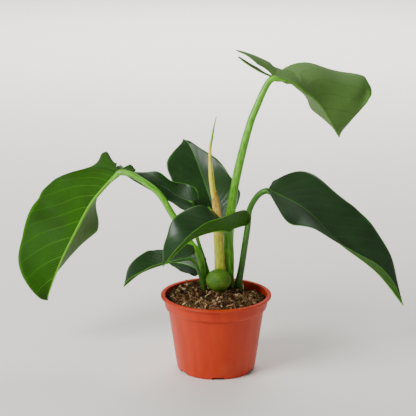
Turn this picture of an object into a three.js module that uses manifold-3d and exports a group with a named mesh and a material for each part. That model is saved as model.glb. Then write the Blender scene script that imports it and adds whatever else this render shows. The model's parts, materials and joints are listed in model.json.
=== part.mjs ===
// A potted philodendron: a plastic nursery pot filled with bark mix, a short
// swollen stem base with one rolled new leaf in its sheath, and eight leaves,
// each a heart-shaped blade on its own leaf stalk.
//
// Millimetres, +Z up. The origin is the middle of the pot's underside. +X is to
// the right and +Y to the back of the plant as it is seen from the front.

import * as THREE from 'three';
import { mergeVertices } from 'three/addons/utils/BufferGeometryUtils.js';
import Module from 'manifold-3d';

const wasm = await Module();
wasm.setup();

const DEGREE = Math.PI / 180;
const MERGE = 1e-4;

// ---------------------------------------------------------------- dimensions

// The gap that is left where one solid stands in or against another.
const FIT = 0.3;

// Pot: a 13 cm thermoformed nursery pot.
const POT_HEIGHT = 91;
const RIM_RADIUS = 65;
const RIM_DEPTH = 2.6;
const RIM_ROUNDING = 0.8;
const NECK_RADIUS = 61;
const NECK_TAPER = 0.6;
const SHOULDER_TOP = 79;
const SHOULDER_LIP = [59, 75.2];
const SHOULDER_BOTTOM = 74;
const BODY_TOP_RADIUS = 56.4;
const BODY_FOOT_RADIUS = 47;
const FOOT_RADIUS = 46;
const FOOT_CORNER = 2.5;
const FOOT_HEIGHT = 7.5;
const FOOT_RING_WIDTH = 5;
const CHANNEL_HEIGHT = 3;
const CHANNEL_SLOPE = 1;
const CENTRE_DISC_RADIUS = 18;
const WALL = 1.4;
const LEDGE_DROP = 0.5;
const FLOOR_RADIUS = 43.1;
const POT_SIDES = 48;
const NOTCH_COUNT = 6;
const NOTCH_WIDTH = 14;
const NOTCH_HEIGHT = 2.9;
const NOTCH_START = -87;
const DRAIN_COUNT = 6;
const DRAIN_RADIUS = 3.5;
const DRAIN_SIDES = 12;
const DRAIN_CIRCLE = 30;

// Soil: bark mix with a heap and a dip in its top, each given by its place, its
// height and how far it spreads, and with a small relief between the chips.
const SOIL_EDGE_Z = 85;
const SOIL_HEAP = { x: -5, y: 11, height: 9.5, spread: 39 };
const SOIL_DIP = { x: 38, y: 32, height: -6, spread: 20 };
const SOIL_RELIEF = 1.1;
// How closely the unevenness of the soil follows on itself, in radians a millimetre.
const COARSE_RELIEF = [0.42, 0.13, 0.39, 0.21];
const FINE_RELIEF = [0.9, 0.7];
const FINE_RELIEF_SHARE = 0.6;
const SOIL_RINGS = 7;
const SOIL_SIDES = 36;
const CHIP_COUNT = 20;
const CHIP_SEED = 17;
const CHIP = { length: [7, 13], width: [3, 6], height: 4, pitch: 0.25, roll: 0.35, fromWall: 9 };

// Stem base: a swollen ball that stands half out of the soil.
const BULB_CENTRE = [2.9, 2, 105.6];
const BULB_RADIUS = 13.9;
const BULB_HALF_HEIGHT = 12.8;
const BULB_SIDES = 20;
const BULB_ROWS = 12;
const ROOT_STOCK_RADIUS = 8;
const ROOT_STOCK_SIDES = 16;
const ROOTED_Z = 76;

// Rolled new leaf, and the sheath that it pushed out of: the route of both, the
// leaf's radii from its foot to its tip, and the slanting mouth of the sheath.
const NEW_LEAF_ROUTE = [[5, 14, ROOTED_Z], [4.6, 14, 118], [2.3, 14, 160], [0, 14, 193],
  [-4, 14, 213], [-6.5, 14, 239], [-7, 14, 262], [-5, 14, 273], [-3, 14, 285], [0, 14, 299]];
const NEW_LEAF_RADII = [5.4, 5.3, 4.7, 4.1, 3.6, 3.3, 3.0, 1.6, 1.0, 0.4];
const NEW_LEAF_SIDES = 10;
const SHEATH_FOOT_Z = 78;
const SHEATH_THICKNESS = 1.2;
const SHEATH_TIP = [5, 13, 219];
const SHEATH_SLANT = 62;
// The side of the blocks that the ends of the sheath are cut with.
const CUT_SIZE = 300;

// Blades.
const BLADE_THICKNESS = 0.8;
const BLADE_ROWS = 24;
const BLADE_COLUMNS = 4;
const RIB_HALF_WIDTH = 2.4;
const RIB_HEIGHT = 1.8;
const RIB_TIP_HEIGHT = 0.3;
const RIB_SHARE_MOST = 0.25;
// Where along a blade, as a share of its length, its angles are given.
const STATIONS = [-0.25, 0.05, 0.35, 0.7, 1];
// How slowly the roots of the veins move up the midrib.
const VEIN_LAG = 1.2;
// How far a vein bows: its middle's place along and out, as shares of its reach.
const VEIN_BOW = [0.35, 0.55];
// How broad a half is over its lobe and before its widest place, as a share.
const SHOULDER = [0.84, 0.98];
// The outline of a lobe, as shares of its reach and of its breadth.
const LOBE_OUTLINE = [[-0.98, 0.36], [-1, 0.6], [-0.62, 1]];
// The places before and after the widest one where the breadth is given: a share
// of the way up to the widest, and shares of the way from there to the tip.
const BEFORE_WIDEST = 0.45;
const PAST_WIDEST = [0.34, 0.67, 0.88];
// The angle that stands for none where a bend or curl is divided by.
const NEARLY_FLAT = 1e-4;

// Leaf stalks.
const STALK_SIDES = 8;
const STALK_OVERLAP = 5;
// How far a stalk's end lies under the midrib, as a share of its radius.
const STALK_UNDER = 0.6;

// ------------------------------------------------------------------- leaves

// One entry for each leaf. The stalk and the midrib are lists of points, the
// midrib from the leaf stalk to the tip. face is the way the upper surface looks
// at the base, the middle and the tip, and widest is where along the midrib the
// blade is broadest, as a share of its length. Left and right are as seen on the
// upper surface, looking towards the tip. Each half has
// - width, when it is laid flat, and full, how broad it stays at PAST_WIDEST;
// - shoulder, where it isn't SHOULDER;
// - lobe, how far it reaches back past the stalk, and bend, how far the lobe
//   turns towards the upper side, in degrees;
// - fold, how far it is raised from the plane across the midrib, and curl, how
//   much it turns up on its way out to the margin, in degrees at the STATIONS;
// - wave, the height, the number and the start of the waves along its margin.
const LEAVES = [
  {
    name: 'leaf_left',
    stalk: [[-14, 23, ROOTED_Z], [-15, 23, 99], [-21, 24, 133], [-31, 26, 146], [-51, 30, 178],
      [-68, 34, 204], [-90, 38, 220], [-103, 41, 226]],
    stalkRadii: [4.6, 3.3],
    midrib: [[-115.7, 44.5, 226.9], [-147.5, 45.8, 189.7], [-165.7, 48, 157.4],
      [-188.8, 51.4, 111.1], [-204.6, 55.2, 69.6], [-205.5, 57.8, 63.3]],
    face: [[-0.44, 0.73, 0.17], [-0.08, 0.94, -0.22], [-0.44, 0.83, -0.01]],
    widest: 0.45,
    left: { width: 83.5, full: [0.8, 0.59, 0.29], shoulder: [0.62, 0.73], lobe: 11, bend: 24,
      fold: [175, 61, 70, 35, 6], curl: [100, 90, -40, 0, 0], wave: [4.5, 1.57, 0.84] },
    right: { width: 56.1, full: [0.62, 0.63, 0.45], shoulder: [0.64, 0.82], lobe: 17.4, bend: 38,
      fold: [-27, 55, 67, 72, 82], curl: [1, 24, 13, -24, -36], wave: [4.47, 1.39, 0.02] },
  },
  {
    name: 'leaf_behind_left',
    stalk: [[-8, 26, ROOTED_Z], [-8, 26, 100], [-14, 30, 123], [-23, 36, 151], [-28, 42, 179]],
    stalkRadii: [2.6, 1.9],
    midrib: [[-28.1, 45.5, 190], [-46.9, 57.5, 195], [-62.8, 70.1, 203.2], [-86.6, 75.1, 208.3],
      [-114.3, 87.1, 219.1]],
    face: [[0.15, -0.47, 0.86], [0.28, -0.3, 0.89], [0.09, -0.33, 0.89]],
    widest: 0.25,
    left: { width: 24.4, full: [0.89, 0.44, 0.22], shoulder: [0.81, 0.96], lobe: 9.6, bend: 2,
      fold: [9, 10, 9, 10, 10], curl: [-1, 0, -1, -2, -2], wave: [2.94, 1.76, -0.07] },
    right: { width: 16.9, full: [1.03, 0.59, 0.19], shoulder: [1.04, 1.05], lobe: 7.7, bend: 1,
      fold: [91, 60, 80, 70, 50], curl: [5, 9, 30, 0, 0], wave: [3, 2, 0.43] },
  },
  {
    name: 'leaf_back',
    stalk: [[12, 36, ROOTED_Z], [12, 36, 98], [11, 48, 132], [7, 62, 152], [3, 74, 164]],
    stalkRadii: [3.4, 2.6],
    midrib: [[-2, 76, 170], [-13, 92, 201.2], [-26, 105, 234.4], [-34, 114, 248.4], [-40.2, 127, 251]],
    face: [[0, -1, 0.2], [0, -1, 0.3], [0, -0.8, 0.8]],
    widest: 0.18,
    left: { width: 39.4, full: [1, 0.92, 0.22], shoulder: [0.84, 0.95], lobe: 22, bend: 0,
      fold: [25, 28, 26, 12, 0], curl: [0, 0, 0, 0, 0], wave: [1.82, 2, -0.06] },
    right: { width: 37.2, full: [0.86, 0.3, 0.05], shoulder: [0.6, 0.99], lobe: 20, bend: 0,
      fold: [15, 9, 29, 18, 10], curl: [0, 0, 0, 0, 0], wave: [2.19, 2, 0.38] },
  },
  {
    name: 'leaf_front',
    stalk: [[17.4, 14, ROOTED_Z], [17.4, 14, 98], [18, 9, 119], [17.6, -1, 144], [16, -10, 163]],
    stalkRadii: [3.6, 2.8],
    midrib: [[15.2, -13.4, 171.1], [-1.3, -35.7, 176.9], [-26.7, -58.1, 173.5],
      [-47.9, -73.4, 158.5], [-59.5, -82.8, 148.4]],
    face: [[0.01, 0.01, 1], [0.03, 0, 0.99], [-0.07, 0.1, 0.99]],
    widest: 0.3,
    left: { width: 40.9, full: [0.75, 0.55, 0.15], shoulder: [0.73, 0.96], lobe: 8.3, bend: 42,
      fold: [6, 30, 39, 39, 38], curl: [1, 17, 10, 1, 3], wave: [3.02, 2.34, -0.06] },
    right: { width: 36.7, full: [0.91, 0.58, 0.21], shoulder: [1.1, 0.75], lobe: 2, bend: 10,
      fold: [43, 40, 46, 34, 41], curl: [11, 0, -2, -16, -4], wave: [4.5, 2.46, -0.17] },
  },
  {
    name: 'leaf_low_left',
    stalk: [[-14.7, 1, ROOTED_Z], [-14.7, 1, 96], [-19.5, 1, 115], [-26, 0, 130]],
    stalkRadii: [2.4, 1.8],
    midrib: [[-30.5, -3, 135], [-45, -12, 135], [-63, -22, 133], [-87, -34, 126],
      [-105.6, -45.8, 113.5]],
    face: [[0, -0.2, 1], [0, -0.2, 1], [-0.2, -0.2, 1]],
    widest: 0.3,
    left: { width: 17.9, full: [0.97, 0.56, 0.34], shoulder: [0.49, 0.7], lobe: 4.1, bend: -28,
      fold: [25, 21, 27, 40, 60], curl: [0, 0, 0, 0, 0], wave: [1.62, 2, 0.3] },
    right: { width: 27.9, full: [0.78, 0.52, 0.19], shoulder: [0.73, 0.97], lobe: 7.8, bend: -40,
      fold: [68, 12, 10, 44, 29], curl: [0, 0, 0, 0, 0], wave: [3, 2, 0.31] },
  },
  {
    name: 'leaf_low_back',
    stalk: [[-10, 34, ROOTED_Z], [-11, 34, 92]],
    stalkRadii: [2.0, 1.6],
    midrib: [[-21, 35, 109], [-38, 43, 114], [-58, 54, 113]],
    face: [[0, -0.6, 0.8], [0, -0.6, 0.8], [0, -0.6, 0.8]],
    widest: 0.25,
    left: { width: 16, full: [0.86, 0.5, 0.2], lobe: 4, bend: 0, fold: [20, 20, 20, 20, 20],
      curl: [0, 0, 0, 0, 0], wave: [1, 2, 0] },
    right: { width: 20, full: [0.86, 0.5, 0.2], lobe: 4, bend: 0, fold: [20, 20, 20, 20, 20],
      curl: [0, 0, 0, 0, 0], wave: [1, 2, 0] },
  },
  {
    name: 'leaf_right',
    stalk: [[26, 16, ROOTED_Z], [26, 16, 92], [30, 16, 117], [34, 15, 146], [37, 13, 169], [39, 12, 189],
      [47, 10, 205], [53, 8, 211]],
    stalkRadii: [4.2, 3.2],
    midrib: [[60.4, 5.4, 214.8], [102.2, -0.1, 193.2], [139.1, -10.1, 158.4], [186.5, -16.8, 121.5],
      [217.9, -18.2, 81.8]],
    face: [[0.6, -0.05, 0.77], [0.67, -0.1, 0.72], [0.6, -0.1, 0.78]],
    widest: 0.28,
    left: { width: 58.1, full: [1.02, 0.63, 0.24], shoulder: [0.33, 1.1], lobe: 2, bend: 56,
      fold: [-10, 18, 26, 33, 26], curl: [-2, 7, 11, 3, -4], wave: [0.6, 1.91, 0.4] },
    right: { width: 53.6, full: [0.76, 0.42, 0.15], shoulder: [0.1, 1.09], lobe: 3.6, bend: 27,
      fold: [-1, 0, 10, 28, 45], curl: [-4, -20, -18, -3, -2], wave: [4.5, 2.67, 0.12] },
  },
  {
    name: 'leaf_top',
    stalk: [[15.5, 26.5, ROOTED_Z], [15.5, 26.5, 90], [14.8, 26, 130], [15.2, 27, 158], [19.1, 31, 196],
      [28.4, 36, 243], [41.2, 42, 290], [48.4, 45, 307], [55, 48, 322], [62, 51, 334]],
    stalkRadii: [5.6, 5.8, 6, 6.1, 5.9, 5, 4.9, 4.7, 4.4, 4.1, 3.6, 3.2],
    midrib: [[66.5, 52.4, 338.3], [89.6, 55.9, 331.4], [102.6, 60.1, 321.8], [123.1, 78.5, 303.2],
      [147.3, 93.1, 264.3], [151.7, 113.9, 255.3]],
    face: [[-0.25, 1, 0.45], [0.08, 0.95, 0.19], [-0.11, 0.98, -0.11]],
    widest: 0.5,
    left: { width: 67.4, full: [1.1, 0.3, 0.05], shoulder: [0.3, 0.54], lobe: 56.2, bend: 55,
      fold: [92, 75, 78, 75, 98], curl: [-90, -56, -30, -4, -7], wave: [4.5, 1.4, 0.33] },
    right: { width: 84.7, full: [1.1, 0.71, 0.37], shoulder: [0.63, 0.55], lobe: 10, bend: -60,
      fold: [0, 77, 68, 11, 18], curl: [100, 90, 97, 62, -32], wave: [4.5, 2.31, -0.14] },
  },
];

// ------------------------------------------------------------------ finishes

const finish = (color, roughness) => new THREE.MeshStandardMaterial({ color, roughness, metalness: 0 });
const POT_PLASTIC = finish('#c75231', 0.55);
const BARK_MIX = finish('#6e5335', 0.95);
const BULB_SKIN = finish('#5f8236', 0.5);
const YOUNG_LEAF = finish('#b9bd55', 0.45);
const DRY_SHEATH = finish('#c49a58', 0.6);
const LEAF_SKIN = finish('#25522a', 0.38);
const STALK_SKIN = finish('#5aa336', 0.42);

// -------------------------------------------------------------------- solids

const vector = (point) => new THREE.Vector3(...point);

// A surface given as points and triangles.
function surfaceOf(points, triangles) {
  const geometry = new THREE.BufferGeometry();
  geometry.setAttribute('position', new THREE.Float32BufferAttribute(points.flatMap((p) => p.toArray()), 3));
  geometry.setIndex(triangles.flat());
  return geometry;
}

// A closed surface as a solid that can be joined and cut.
function solidOf(geometry) {
  const bare = geometry.clone();
  bare.deleteAttribute('normal');
  bare.deleteAttribute('uv');
  const merged = mergeVertices(bare, MERGE);
  return new wasm.Manifold(new wasm.Mesh({
    numProp: 3,
    vertProperties: new Float32Array(merged.attributes.position.array),
    triVerts: new Uint32Array(merged.index.array),
  }));
}

function geometryOf(solid) {
  const { vertProperties, triVerts } = solid.getMesh();
  const geometry = new THREE.BufferGeometry();
  geometry.setAttribute('position', new THREE.BufferAttribute(vertProperties, 3));
  geometry.setIndex(new THREE.BufferAttribute(triVerts, 1));
  geometry.computeVertexNormals();
  return geometry;
}

// A revolved profile, [radius, height] from the axis round and back to the axis.
function turned(profile, sides) {
  const geometry = new THREE.LatheGeometry(profile.map(([r, z]) => new THREE.Vector2(r, z)), sides);
  return geometry.rotateX(Math.PI / 2);
}

// A tube along a smooth route, whose radius changes evenly between the radii
// given for its length. A grown tube is thicker, and longer at both ends.
function tapered(route, radii, sides, grow = 0) {
  const curve = new THREE.CatmullRomCurve3(route.map(vector), false, 'centripetal');
  const steps = 2 * (route.length - 1);
  const normal = new THREE.Vector3(1, 0, 0);
  const points = [];
  for (let i = 0; i <= steps; i += 1) {
    const centre = curve.getPoint(i / steps);
    const along = curve.getTangent(i / steps);
    normal.addScaledVector(along, -normal.dot(along)).normalize();
    const across = along.clone().cross(normal);
    if (grow > 0 && i === 0) centre.addScaledVector(along, -FIT);
    if (grow > 0 && i === steps) centre.addScaledVector(along, FIT);
    const place = (i / steps) * (radii.length - 1);
    const k = Math.min(Math.floor(place), radii.length - 2);
    const radius = THREE.MathUtils.lerp(radii[k], radii[k + 1], place - k) + grow;
    for (let j = 0; j < sides; j += 1) {
      const turn = (j / sides) * 2 * Math.PI;
      points.push(centre.clone()
        .addScaledVector(normal, radius * Math.cos(turn))
        .addScaledVector(across, radius * Math.sin(turn)));
    }
  }
  return surfaceOf(points, tubeFaces(sides, steps));
}

// The faces of a tube of rings of points, closed at both ends.
function tubeFaces(sides, steps) {
  const faces = [];
  for (let i = 0; i < steps; i += 1) {
    for (let j = 0; j < sides; j += 1) {
      const a = i * sides + j;
      const b = i * sides + ((j + 1) % sides);
      faces.push([a, b, b + sides], [a, b + sides, a + sides]);
    }
  }
  const last = steps * sides;
  for (let j = 1; j < sides - 1; j += 1) {
    faces.push([0, j + 1, j], [last, last + j, last + j + 1]);
  }
  return faces;
}

// ----------------------------------------------------------------------- pot

function potSolid() {
  const neckBottom = NECK_RADIUS - NECK_TAPER;
  const outside = [
    [0, 0],
    [CENTRE_DISC_RADIUS, 0],
    [CENTRE_DISC_RADIUS + CHANNEL_SLOPE, CHANNEL_HEIGHT],
    [FOOT_RADIUS - FOOT_RING_WIDTH, CHANNEL_HEIGHT],
    [FOOT_RADIUS - FOOT_RING_WIDTH + CHANNEL_SLOPE, 0],
    [FOOT_RADIUS - FOOT_CORNER / 2, 0],
    [FOOT_RADIUS, FOOT_CORNER],
    [BODY_FOOT_RADIUS, FOOT_HEIGHT],
    [BODY_TOP_RADIUS, SHOULDER_BOTTOM],
    SHOULDER_LIP,
    [neckBottom, SHOULDER_TOP],
    [NECK_RADIUS, POT_HEIGHT - RIM_DEPTH - RIM_ROUNDING],
    [RIM_RADIUS - RIM_ROUNDING, POT_HEIGHT - RIM_DEPTH],
    [RIM_RADIUS, POT_HEIGHT - RIM_DEPTH / 2],
    [RIM_RADIUS - RIM_ROUNDING, POT_HEIGHT],
  ];
  const inside = [
    [NECK_RADIUS - WALL + RIM_ROUNDING, POT_HEIGHT],
    [NECK_RADIUS - WALL, POT_HEIGHT - RIM_ROUNDING],
    [neckBottom - WALL, SHOULDER_TOP],
    [BODY_TOP_RADIUS - WALL, SHOULDER_BOTTOM - LEDGE_DROP],
    [BODY_FOOT_RADIUS - WALL, FOOT_HEIGHT],
    [FLOOR_RADIUS, CHANNEL_HEIGHT + WALL],
    [CENTRE_DISC_RADIUS - CHANNEL_SLOPE, CHANNEL_HEIGHT + WALL],
    [CENTRE_DISC_RADIUS - 2 * CHANNEL_SLOPE, WALL],
    [0, WALL],
  ];
  let pot = solidOf(turned([...outside, ...inside], POT_SIDES));
  const notch = new THREE.BoxGeometry(3 * FOOT_RING_WIDTH, NOTCH_WIDTH, 2 * NOTCH_HEIGHT);
  notch.translate(FOOT_RADIUS, 0, 0);
  for (let i = 0; i < NOTCH_COUNT; i += 1) {
    const turn = (NOTCH_START + (i * 360) / NOTCH_COUNT) * DEGREE;
    pot = pot.subtract(solidOf(notch.clone().rotateZ(turn)));
  }
  const drain = new THREE.CylinderGeometry(DRAIN_RADIUS, DRAIN_RADIUS, 4 * WALL, DRAIN_SIDES);
  drain.rotateX(Math.PI / 2);
  drain.translate(DRAIN_CIRCLE, 0, CHANNEL_HEIGHT);
  for (let i = 0; i < DRAIN_COUNT; i += 1) {
    pot = pot.subtract(solidOf(drain.clone().rotateZ(((i + 0.5) * 2 * Math.PI) / DRAIN_COUNT)));
  }
  return pot;
}

// ---------------------------------------------------------------------- soil

// A small generator of repeatable random numbers.
function seeded(seed) {
  let state = seed;
  return () => {
    state = (state * 16807) % 2147483647;
    return state / 2147483647;
  };
}

function soilHeight(x, y) {
  const mound = (m) => m.height * Math.exp(-((x - m.x) ** 2 + (y - m.y) ** 2) / m.spread ** 2);
  const [a, b, c, d] = COARSE_RELIEF;
  const coarse = Math.sin(x * a + y * b) * Math.cos(y * c - x * d);
  const fine = FINE_RELIEF_SHARE * Math.sin(x * FINE_RELIEF[0] - y * FINE_RELIEF[1]);
  return SOIL_EDGE_Z + mound(SOIL_HEAP) + mound(SOIL_DIP) + SOIL_RELIEF * (coarse + fine);
}

function soilSolid() {
  const random = seeded(CHIP_SEED);
  const neck = NECK_RADIUS - NECK_TAPER - WALL - FIT;
  const floor = CHANNEL_HEIGHT + WALL + FIT;
  const stack = [
    [FLOOR_RADIUS - FIT, floor],
    [BODY_FOOT_RADIUS - WALL - FIT, FOOT_HEIGHT + FIT],
    [BODY_TOP_RADIUS - WALL - FIT, SHOULDER_BOTTOM - LEDGE_DROP],
    [neck - FIT, SHOULDER_TOP + FIT],
  ];
  const points = [new THREE.Vector3(0, 0, floor)];
  const ring = (radius, height) => {
    for (let j = 0; j < SOIL_SIDES; j += 1) {
      const turn = (j / SOIL_SIDES) * 2 * Math.PI;
      const [x, y] = [radius * Math.cos(turn), radius * Math.sin(turn)];
      points.push(new THREE.Vector3(x, y, height(x, y)));
    }
  };
  stack.forEach(([radius, z]) => ring(radius, () => z));
  for (let i = SOIL_RINGS; i > 0; i -= 1) {
    ring((neck * i) / SOIL_RINGS, soilHeight);
  }
  points.push(new THREE.Vector3(0, 0, soilHeight(0, 0)));
  const rings = stack.length + SOIL_RINGS;
  const top = points.length - 1;
  const faces = [];
  for (let j = 0; j < SOIL_SIDES; j += 1) {
    const next = (j + 1) % SOIL_SIDES;
    faces.push([0, 1 + next, 1 + j]);
    for (let i = 0; i < rings - 1; i += 1) {
      const a = 1 + i * SOIL_SIDES + j;
      const b = 1 + i * SOIL_SIDES + next;
      faces.push([a, b, b + SOIL_SIDES], [a, b + SOIL_SIDES, a + SOIL_SIDES]);
    }
    const last = 1 + (rings - 1) * SOIL_SIDES;
    faces.push([last + j, last + next, top]);
  }
  let soil = solidOf(surfaceOf(points, faces));
  for (let i = 0; i < CHIP_COUNT; i += 1) {
    const radius = (neck - CHIP.fromWall) * Math.sqrt(random());
    const turn = random() * 2 * Math.PI;
    const [x, y] = [radius * Math.cos(turn), radius * Math.sin(turn)];
    const draw = (low, high) => THREE.MathUtils.lerp(low, high, random());
    const chip = new THREE.BoxGeometry(draw(...CHIP.length), draw(...CHIP.width), CHIP.height);
    chip.rotateX(draw(-CHIP.pitch, CHIP.pitch)).rotateY(draw(-CHIP.roll, CHIP.roll));
    chip.rotateZ(draw(0, Math.PI));
    soil = soil.add(solidOf(chip.translate(x, y, soilHeight(x, y))));
  }
  return soil;
}

// ----------------------------------------------------------------- stem base

function bulbSolid(grow = 0) {
  const ball = new THREE.SphereGeometry(1, BULB_SIDES, BULB_ROWS).rotateX(Math.PI / 2);
  ball.scale(BULB_RADIUS + grow, BULB_RADIUS + grow, BULB_HALF_HEIGHT + grow);
  ball.translate(...BULB_CENTRE);
  const [x, y, z] = BULB_CENTRE;
  const length = z - ROOTED_Z + grow;
  const radius = ROOT_STOCK_RADIUS + grow;
  const stock = new THREE.CylinderGeometry(radius, radius, length, ROOT_STOCK_SIDES);
  stock.rotateX(Math.PI / 2).translate(x, y, z - length / 2);
  return solidOf(ball).add(solidOf(stock));
}

const newLeafSolid = (grow = 0) => solidOf(tapered(NEW_LEAF_ROUTE, NEW_LEAF_RADII, NEW_LEAF_SIDES, grow));

// The sheath is a tube round the foot of the new leaf, with its mouth cut on a
// slant, so that it ends in a point on the right.
function sheathSolid() {
  const keep = new THREE.BoxGeometry(CUT_SIZE, CUT_SIZE, CUT_SIZE).translate(0, 0, -CUT_SIZE / 2);
  keep.rotateY(-SHEATH_SLANT * DEGREE).translate(...SHEATH_TIP);
  const foot = new THREE.BoxGeometry(CUT_SIZE, CUT_SIZE, CUT_SIZE);
  foot.translate(0, 0, SHEATH_FOOT_Z + CUT_SIZE / 2);
  return newLeafSolid(FIT + SHEATH_THICKNESS)
    .subtract(newLeafSolid(FIT))
    .intersect(solidOf(keep))
    .intersect(solidOf(foot));
}

// -------------------------------------------------------------------- blades

// The value at a share of the blade's length of what is given at some stations.
function between(stations, values, share) {
  const last = stations.length - 1;
  if (share <= stations[0]) return values[0];
  if (share >= stations[last]) return values[last];
  const k = stations.findIndex((station) => station > share) - 1;
  const t = (share - stations[k]) / (stations[k + 1] - stations[k]);
  return THREE.MathUtils.lerp(values[k], values[k + 1], t * t * (3 - 2 * t));
}

// The margin of one half of the flat blade, from the inner end of its lobe to
// the tip: x runs along the midrib and y out from it.
function marginOf(leaf, side, length) {
  const { widest } = leaf;
  const { lobe, width, full, shoulder = SHOULDER } = side;
  const past = (share) => (widest + (1 - widest) * share) * length;
  return new THREE.SplineCurve([
    ...LOBE_OUTLINE.map(([x, y]) => [x * lobe, y * shoulder[0]]),
    [BEFORE_WIDEST * widest * length, shoulder[1]],
    [widest * length, 1],
    ...PAST_WIDEST.map((share, i) => [past(share), full[i]]),
    [length, 0],
  ].map(([x, y]) => new THREE.Vector2(x, y * width)));
}

// The share of a margin's length at which it comes level with the leaf stalk.
function levelShare(margin) {
  const steps = 100;
  let step = 0;
  while (margin.getPointAt(step / steps).x < 0) step += 1;
  return step / steps;
}

// Turns flat places on the blade, x along and y across, into places in space.
function bladeShape(leaf) {
  const midrib = new THREE.CatmullRomCurve3(leaf.midrib.map(vector), false, 'centripetal');
  const length = midrib.getLength();
  const base = midrib.getPointAt(0);
  const start = midrib.getTangentAt(0);
  const faces = leaf.face.map(vector);
  const faceAt = (share) => {
    const [a, b] = share < 0.5 ? [faces[0], faces[1]] : [faces[1], faces[2]];
    return a.clone().lerp(b, share < 0.5 ? share * 2 : share * 2 - 1);
  };
  const place = (side, sign, x, y) => {
    const share = x / length;
    const centre = midrib.getPointAt(THREE.MathUtils.clamp(share, 0, 1));
    const along = midrib.getTangentAt(THREE.MathUtils.clamp(share, 0, 1));
    const face = faceAt(Math.max(share, 0));
    const normal = face.addScaledVector(along, -face.dot(along)).normalize();
    const across = along.clone().cross(normal).multiplyScalar(sign);
    if (x < 0) {
      const bent = (side.bend * DEGREE * -x) / side.lobe + NEARLY_FLAT;
      const arc = -x / bent;
      centre.addScaledVector(along, -arc * Math.sin(bent));
      centre.addScaledVector(normal, arc * (1 - Math.cos(bent)));
      normal.multiplyScalar(Math.cos(bent)).addScaledVector(along, Math.sin(bent));
    }
    const fold = between(STATIONS, side.fold, share) * DEGREE;
    const curl = between(STATIONS, side.curl, share) * DEGREE + NEARLY_FLAT;
    const turn = (curl * y) / side.width;
    const arc = side.width / curl;
    const [height, count, phase] = side.wave;
    const wave = height * (y / side.width) ** 2 * Math.sin(2 * Math.PI * (count * share + phase));
    const out = arc * (Math.sin(fold + turn) - Math.sin(fold)) - wave * Math.sin(fold + turn);
    const up = arc * (Math.cos(fold) - Math.cos(fold + turn)) + wave * Math.cos(fold + turn);
    return centre.addScaledVector(across, out).addScaledVector(normal, up);
  };
  return { length, place };
}

function bladeSolid(leaf) {
  const { length, place } = bladeShape(leaf);
  const points = [];
  const ribs = [];
  const top = [];
  const rim = [[], []];
  const add = (point, rib = 0) => {
    points.push(point);
    ribs.push(rib);
    return points.length - 1;
  };
  const margins = [leaf.right, leaf.left].map((side) => marginOf(leaf, side, length));
  const level = (levelShare(margins[0]) + levelShare(margins[1])) / 2;
  const rootOf = (row) => length * Math.max(0, (row / BLADE_ROWS - level) / (1 - level)) ** VEIN_LAG;
  const ribAt = (x) => THREE.MathUtils.lerp(RIB_HEIGHT, RIB_TIP_HEIGHT, x / length);
  const midribIds = [];
  for (let row = 0; row < BLADE_ROWS; row += 1) {
    const x = rootOf(row);
    const shared = row > 0 && x === 0;
    midribIds.push(shared ? midribIds[0] : add(place(leaf.left, -1, x, 0), ribAt(x)));
  }
  const tip = add(place(leaf.left, -1, length, 0), RIB_TIP_HEIGHT);
  [[leaf.right, 1], [leaf.left, -1]].forEach(([side, sign], k) => {
    const grid = [];
    for (let row = 0; row < BLADE_ROWS; row += 1) {
      const end = margins[k].getPointAt(row / BLADE_ROWS);
      const root = new THREE.Vector2(rootOf(row), 0);
      const bow = root.clone().lerp(end, VEIN_BOW[0]).setY(end.y * VEIN_BOW[1]);
      const vein = new THREE.QuadraticBezierCurve(root, bow, end);
      const ribShare = Math.min(RIB_SHARE_MOST, RIB_HALF_WIDTH / vein.getLength());
      const ids = [midribIds[row]];
      for (let column = 1; column <= BLADE_COLUMNS; column += 1) {
        const out = ribShare + ((1 - ribShare) * (column - 1)) / (BLADE_COLUMNS - 1);
        const { x, y } = vein.getPoint(out);
        ids.push(add(place(side, sign, x, y)));
      }
      grid.push(ids);
    }
    const face = (a, b, c) => {
      if (a !== b && b !== c && a !== c) top.push(sign > 0 ? [a, b, c] : [a, c, b]);
    };
    for (let row = 0; row < BLADE_ROWS; row += 1) {
      for (let column = 0; column < BLADE_COLUMNS; column += 1) {
        const [a, b] = [grid[row][column], grid[row][column + 1]];
        if (row === BLADE_ROWS - 1) {
          face(a, b, tip);
        } else {
          const [d, c] = [grid[row + 1][column], grid[row + 1][column + 1]];
          face(a, b, c);
          face(a, c, d);
        }
      }
    }
    rim[k] = [...grid[0].slice(1), ...grid.slice(1).map((ids) => ids[BLADE_COLUMNS])];
  });
  return thickened(points, ribs, top, [midribIds[0], ...rim[0], tip, ...rim[1].reverse()]);
}

// A sheet of triangles with a thickness, and a rib on its lower face.
function thickened(points, ribs, top, rim) {
  const normals = points.map(() => new THREE.Vector3());
  const triangle = new THREE.Triangle();
  top.forEach((ids) => {
    triangle.set(...ids.map((id) => points[id]));
    const normal = triangle.getNormal(new THREE.Vector3()).multiplyScalar(triangle.getArea());
    ids.forEach((id) => normals[id].add(normal));
  });
  normals.forEach((normal) => normal.normalize());
  const half = BLADE_THICKNESS / 2;
  const upper = points.map((point, i) => point.clone().addScaledVector(normals[i], half));
  const lower = points.map((point, i) => point.clone().addScaledVector(normals[i], -half - ribs[i]));
  const count = points.length;
  const faces = [...top, ...top.map(([a, b, c]) => [a + count, c + count, b + count])];
  rim.forEach((a, i) => {
    const b = rim[(i + 1) % rim.length];
    faces.push([a + count, b + count, b], [a + count, b, a]);
  });
  return solidOf(surfaceOf([...upper, ...lower], faces));
}

// ------------------------------------------------------------------ assembly

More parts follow.
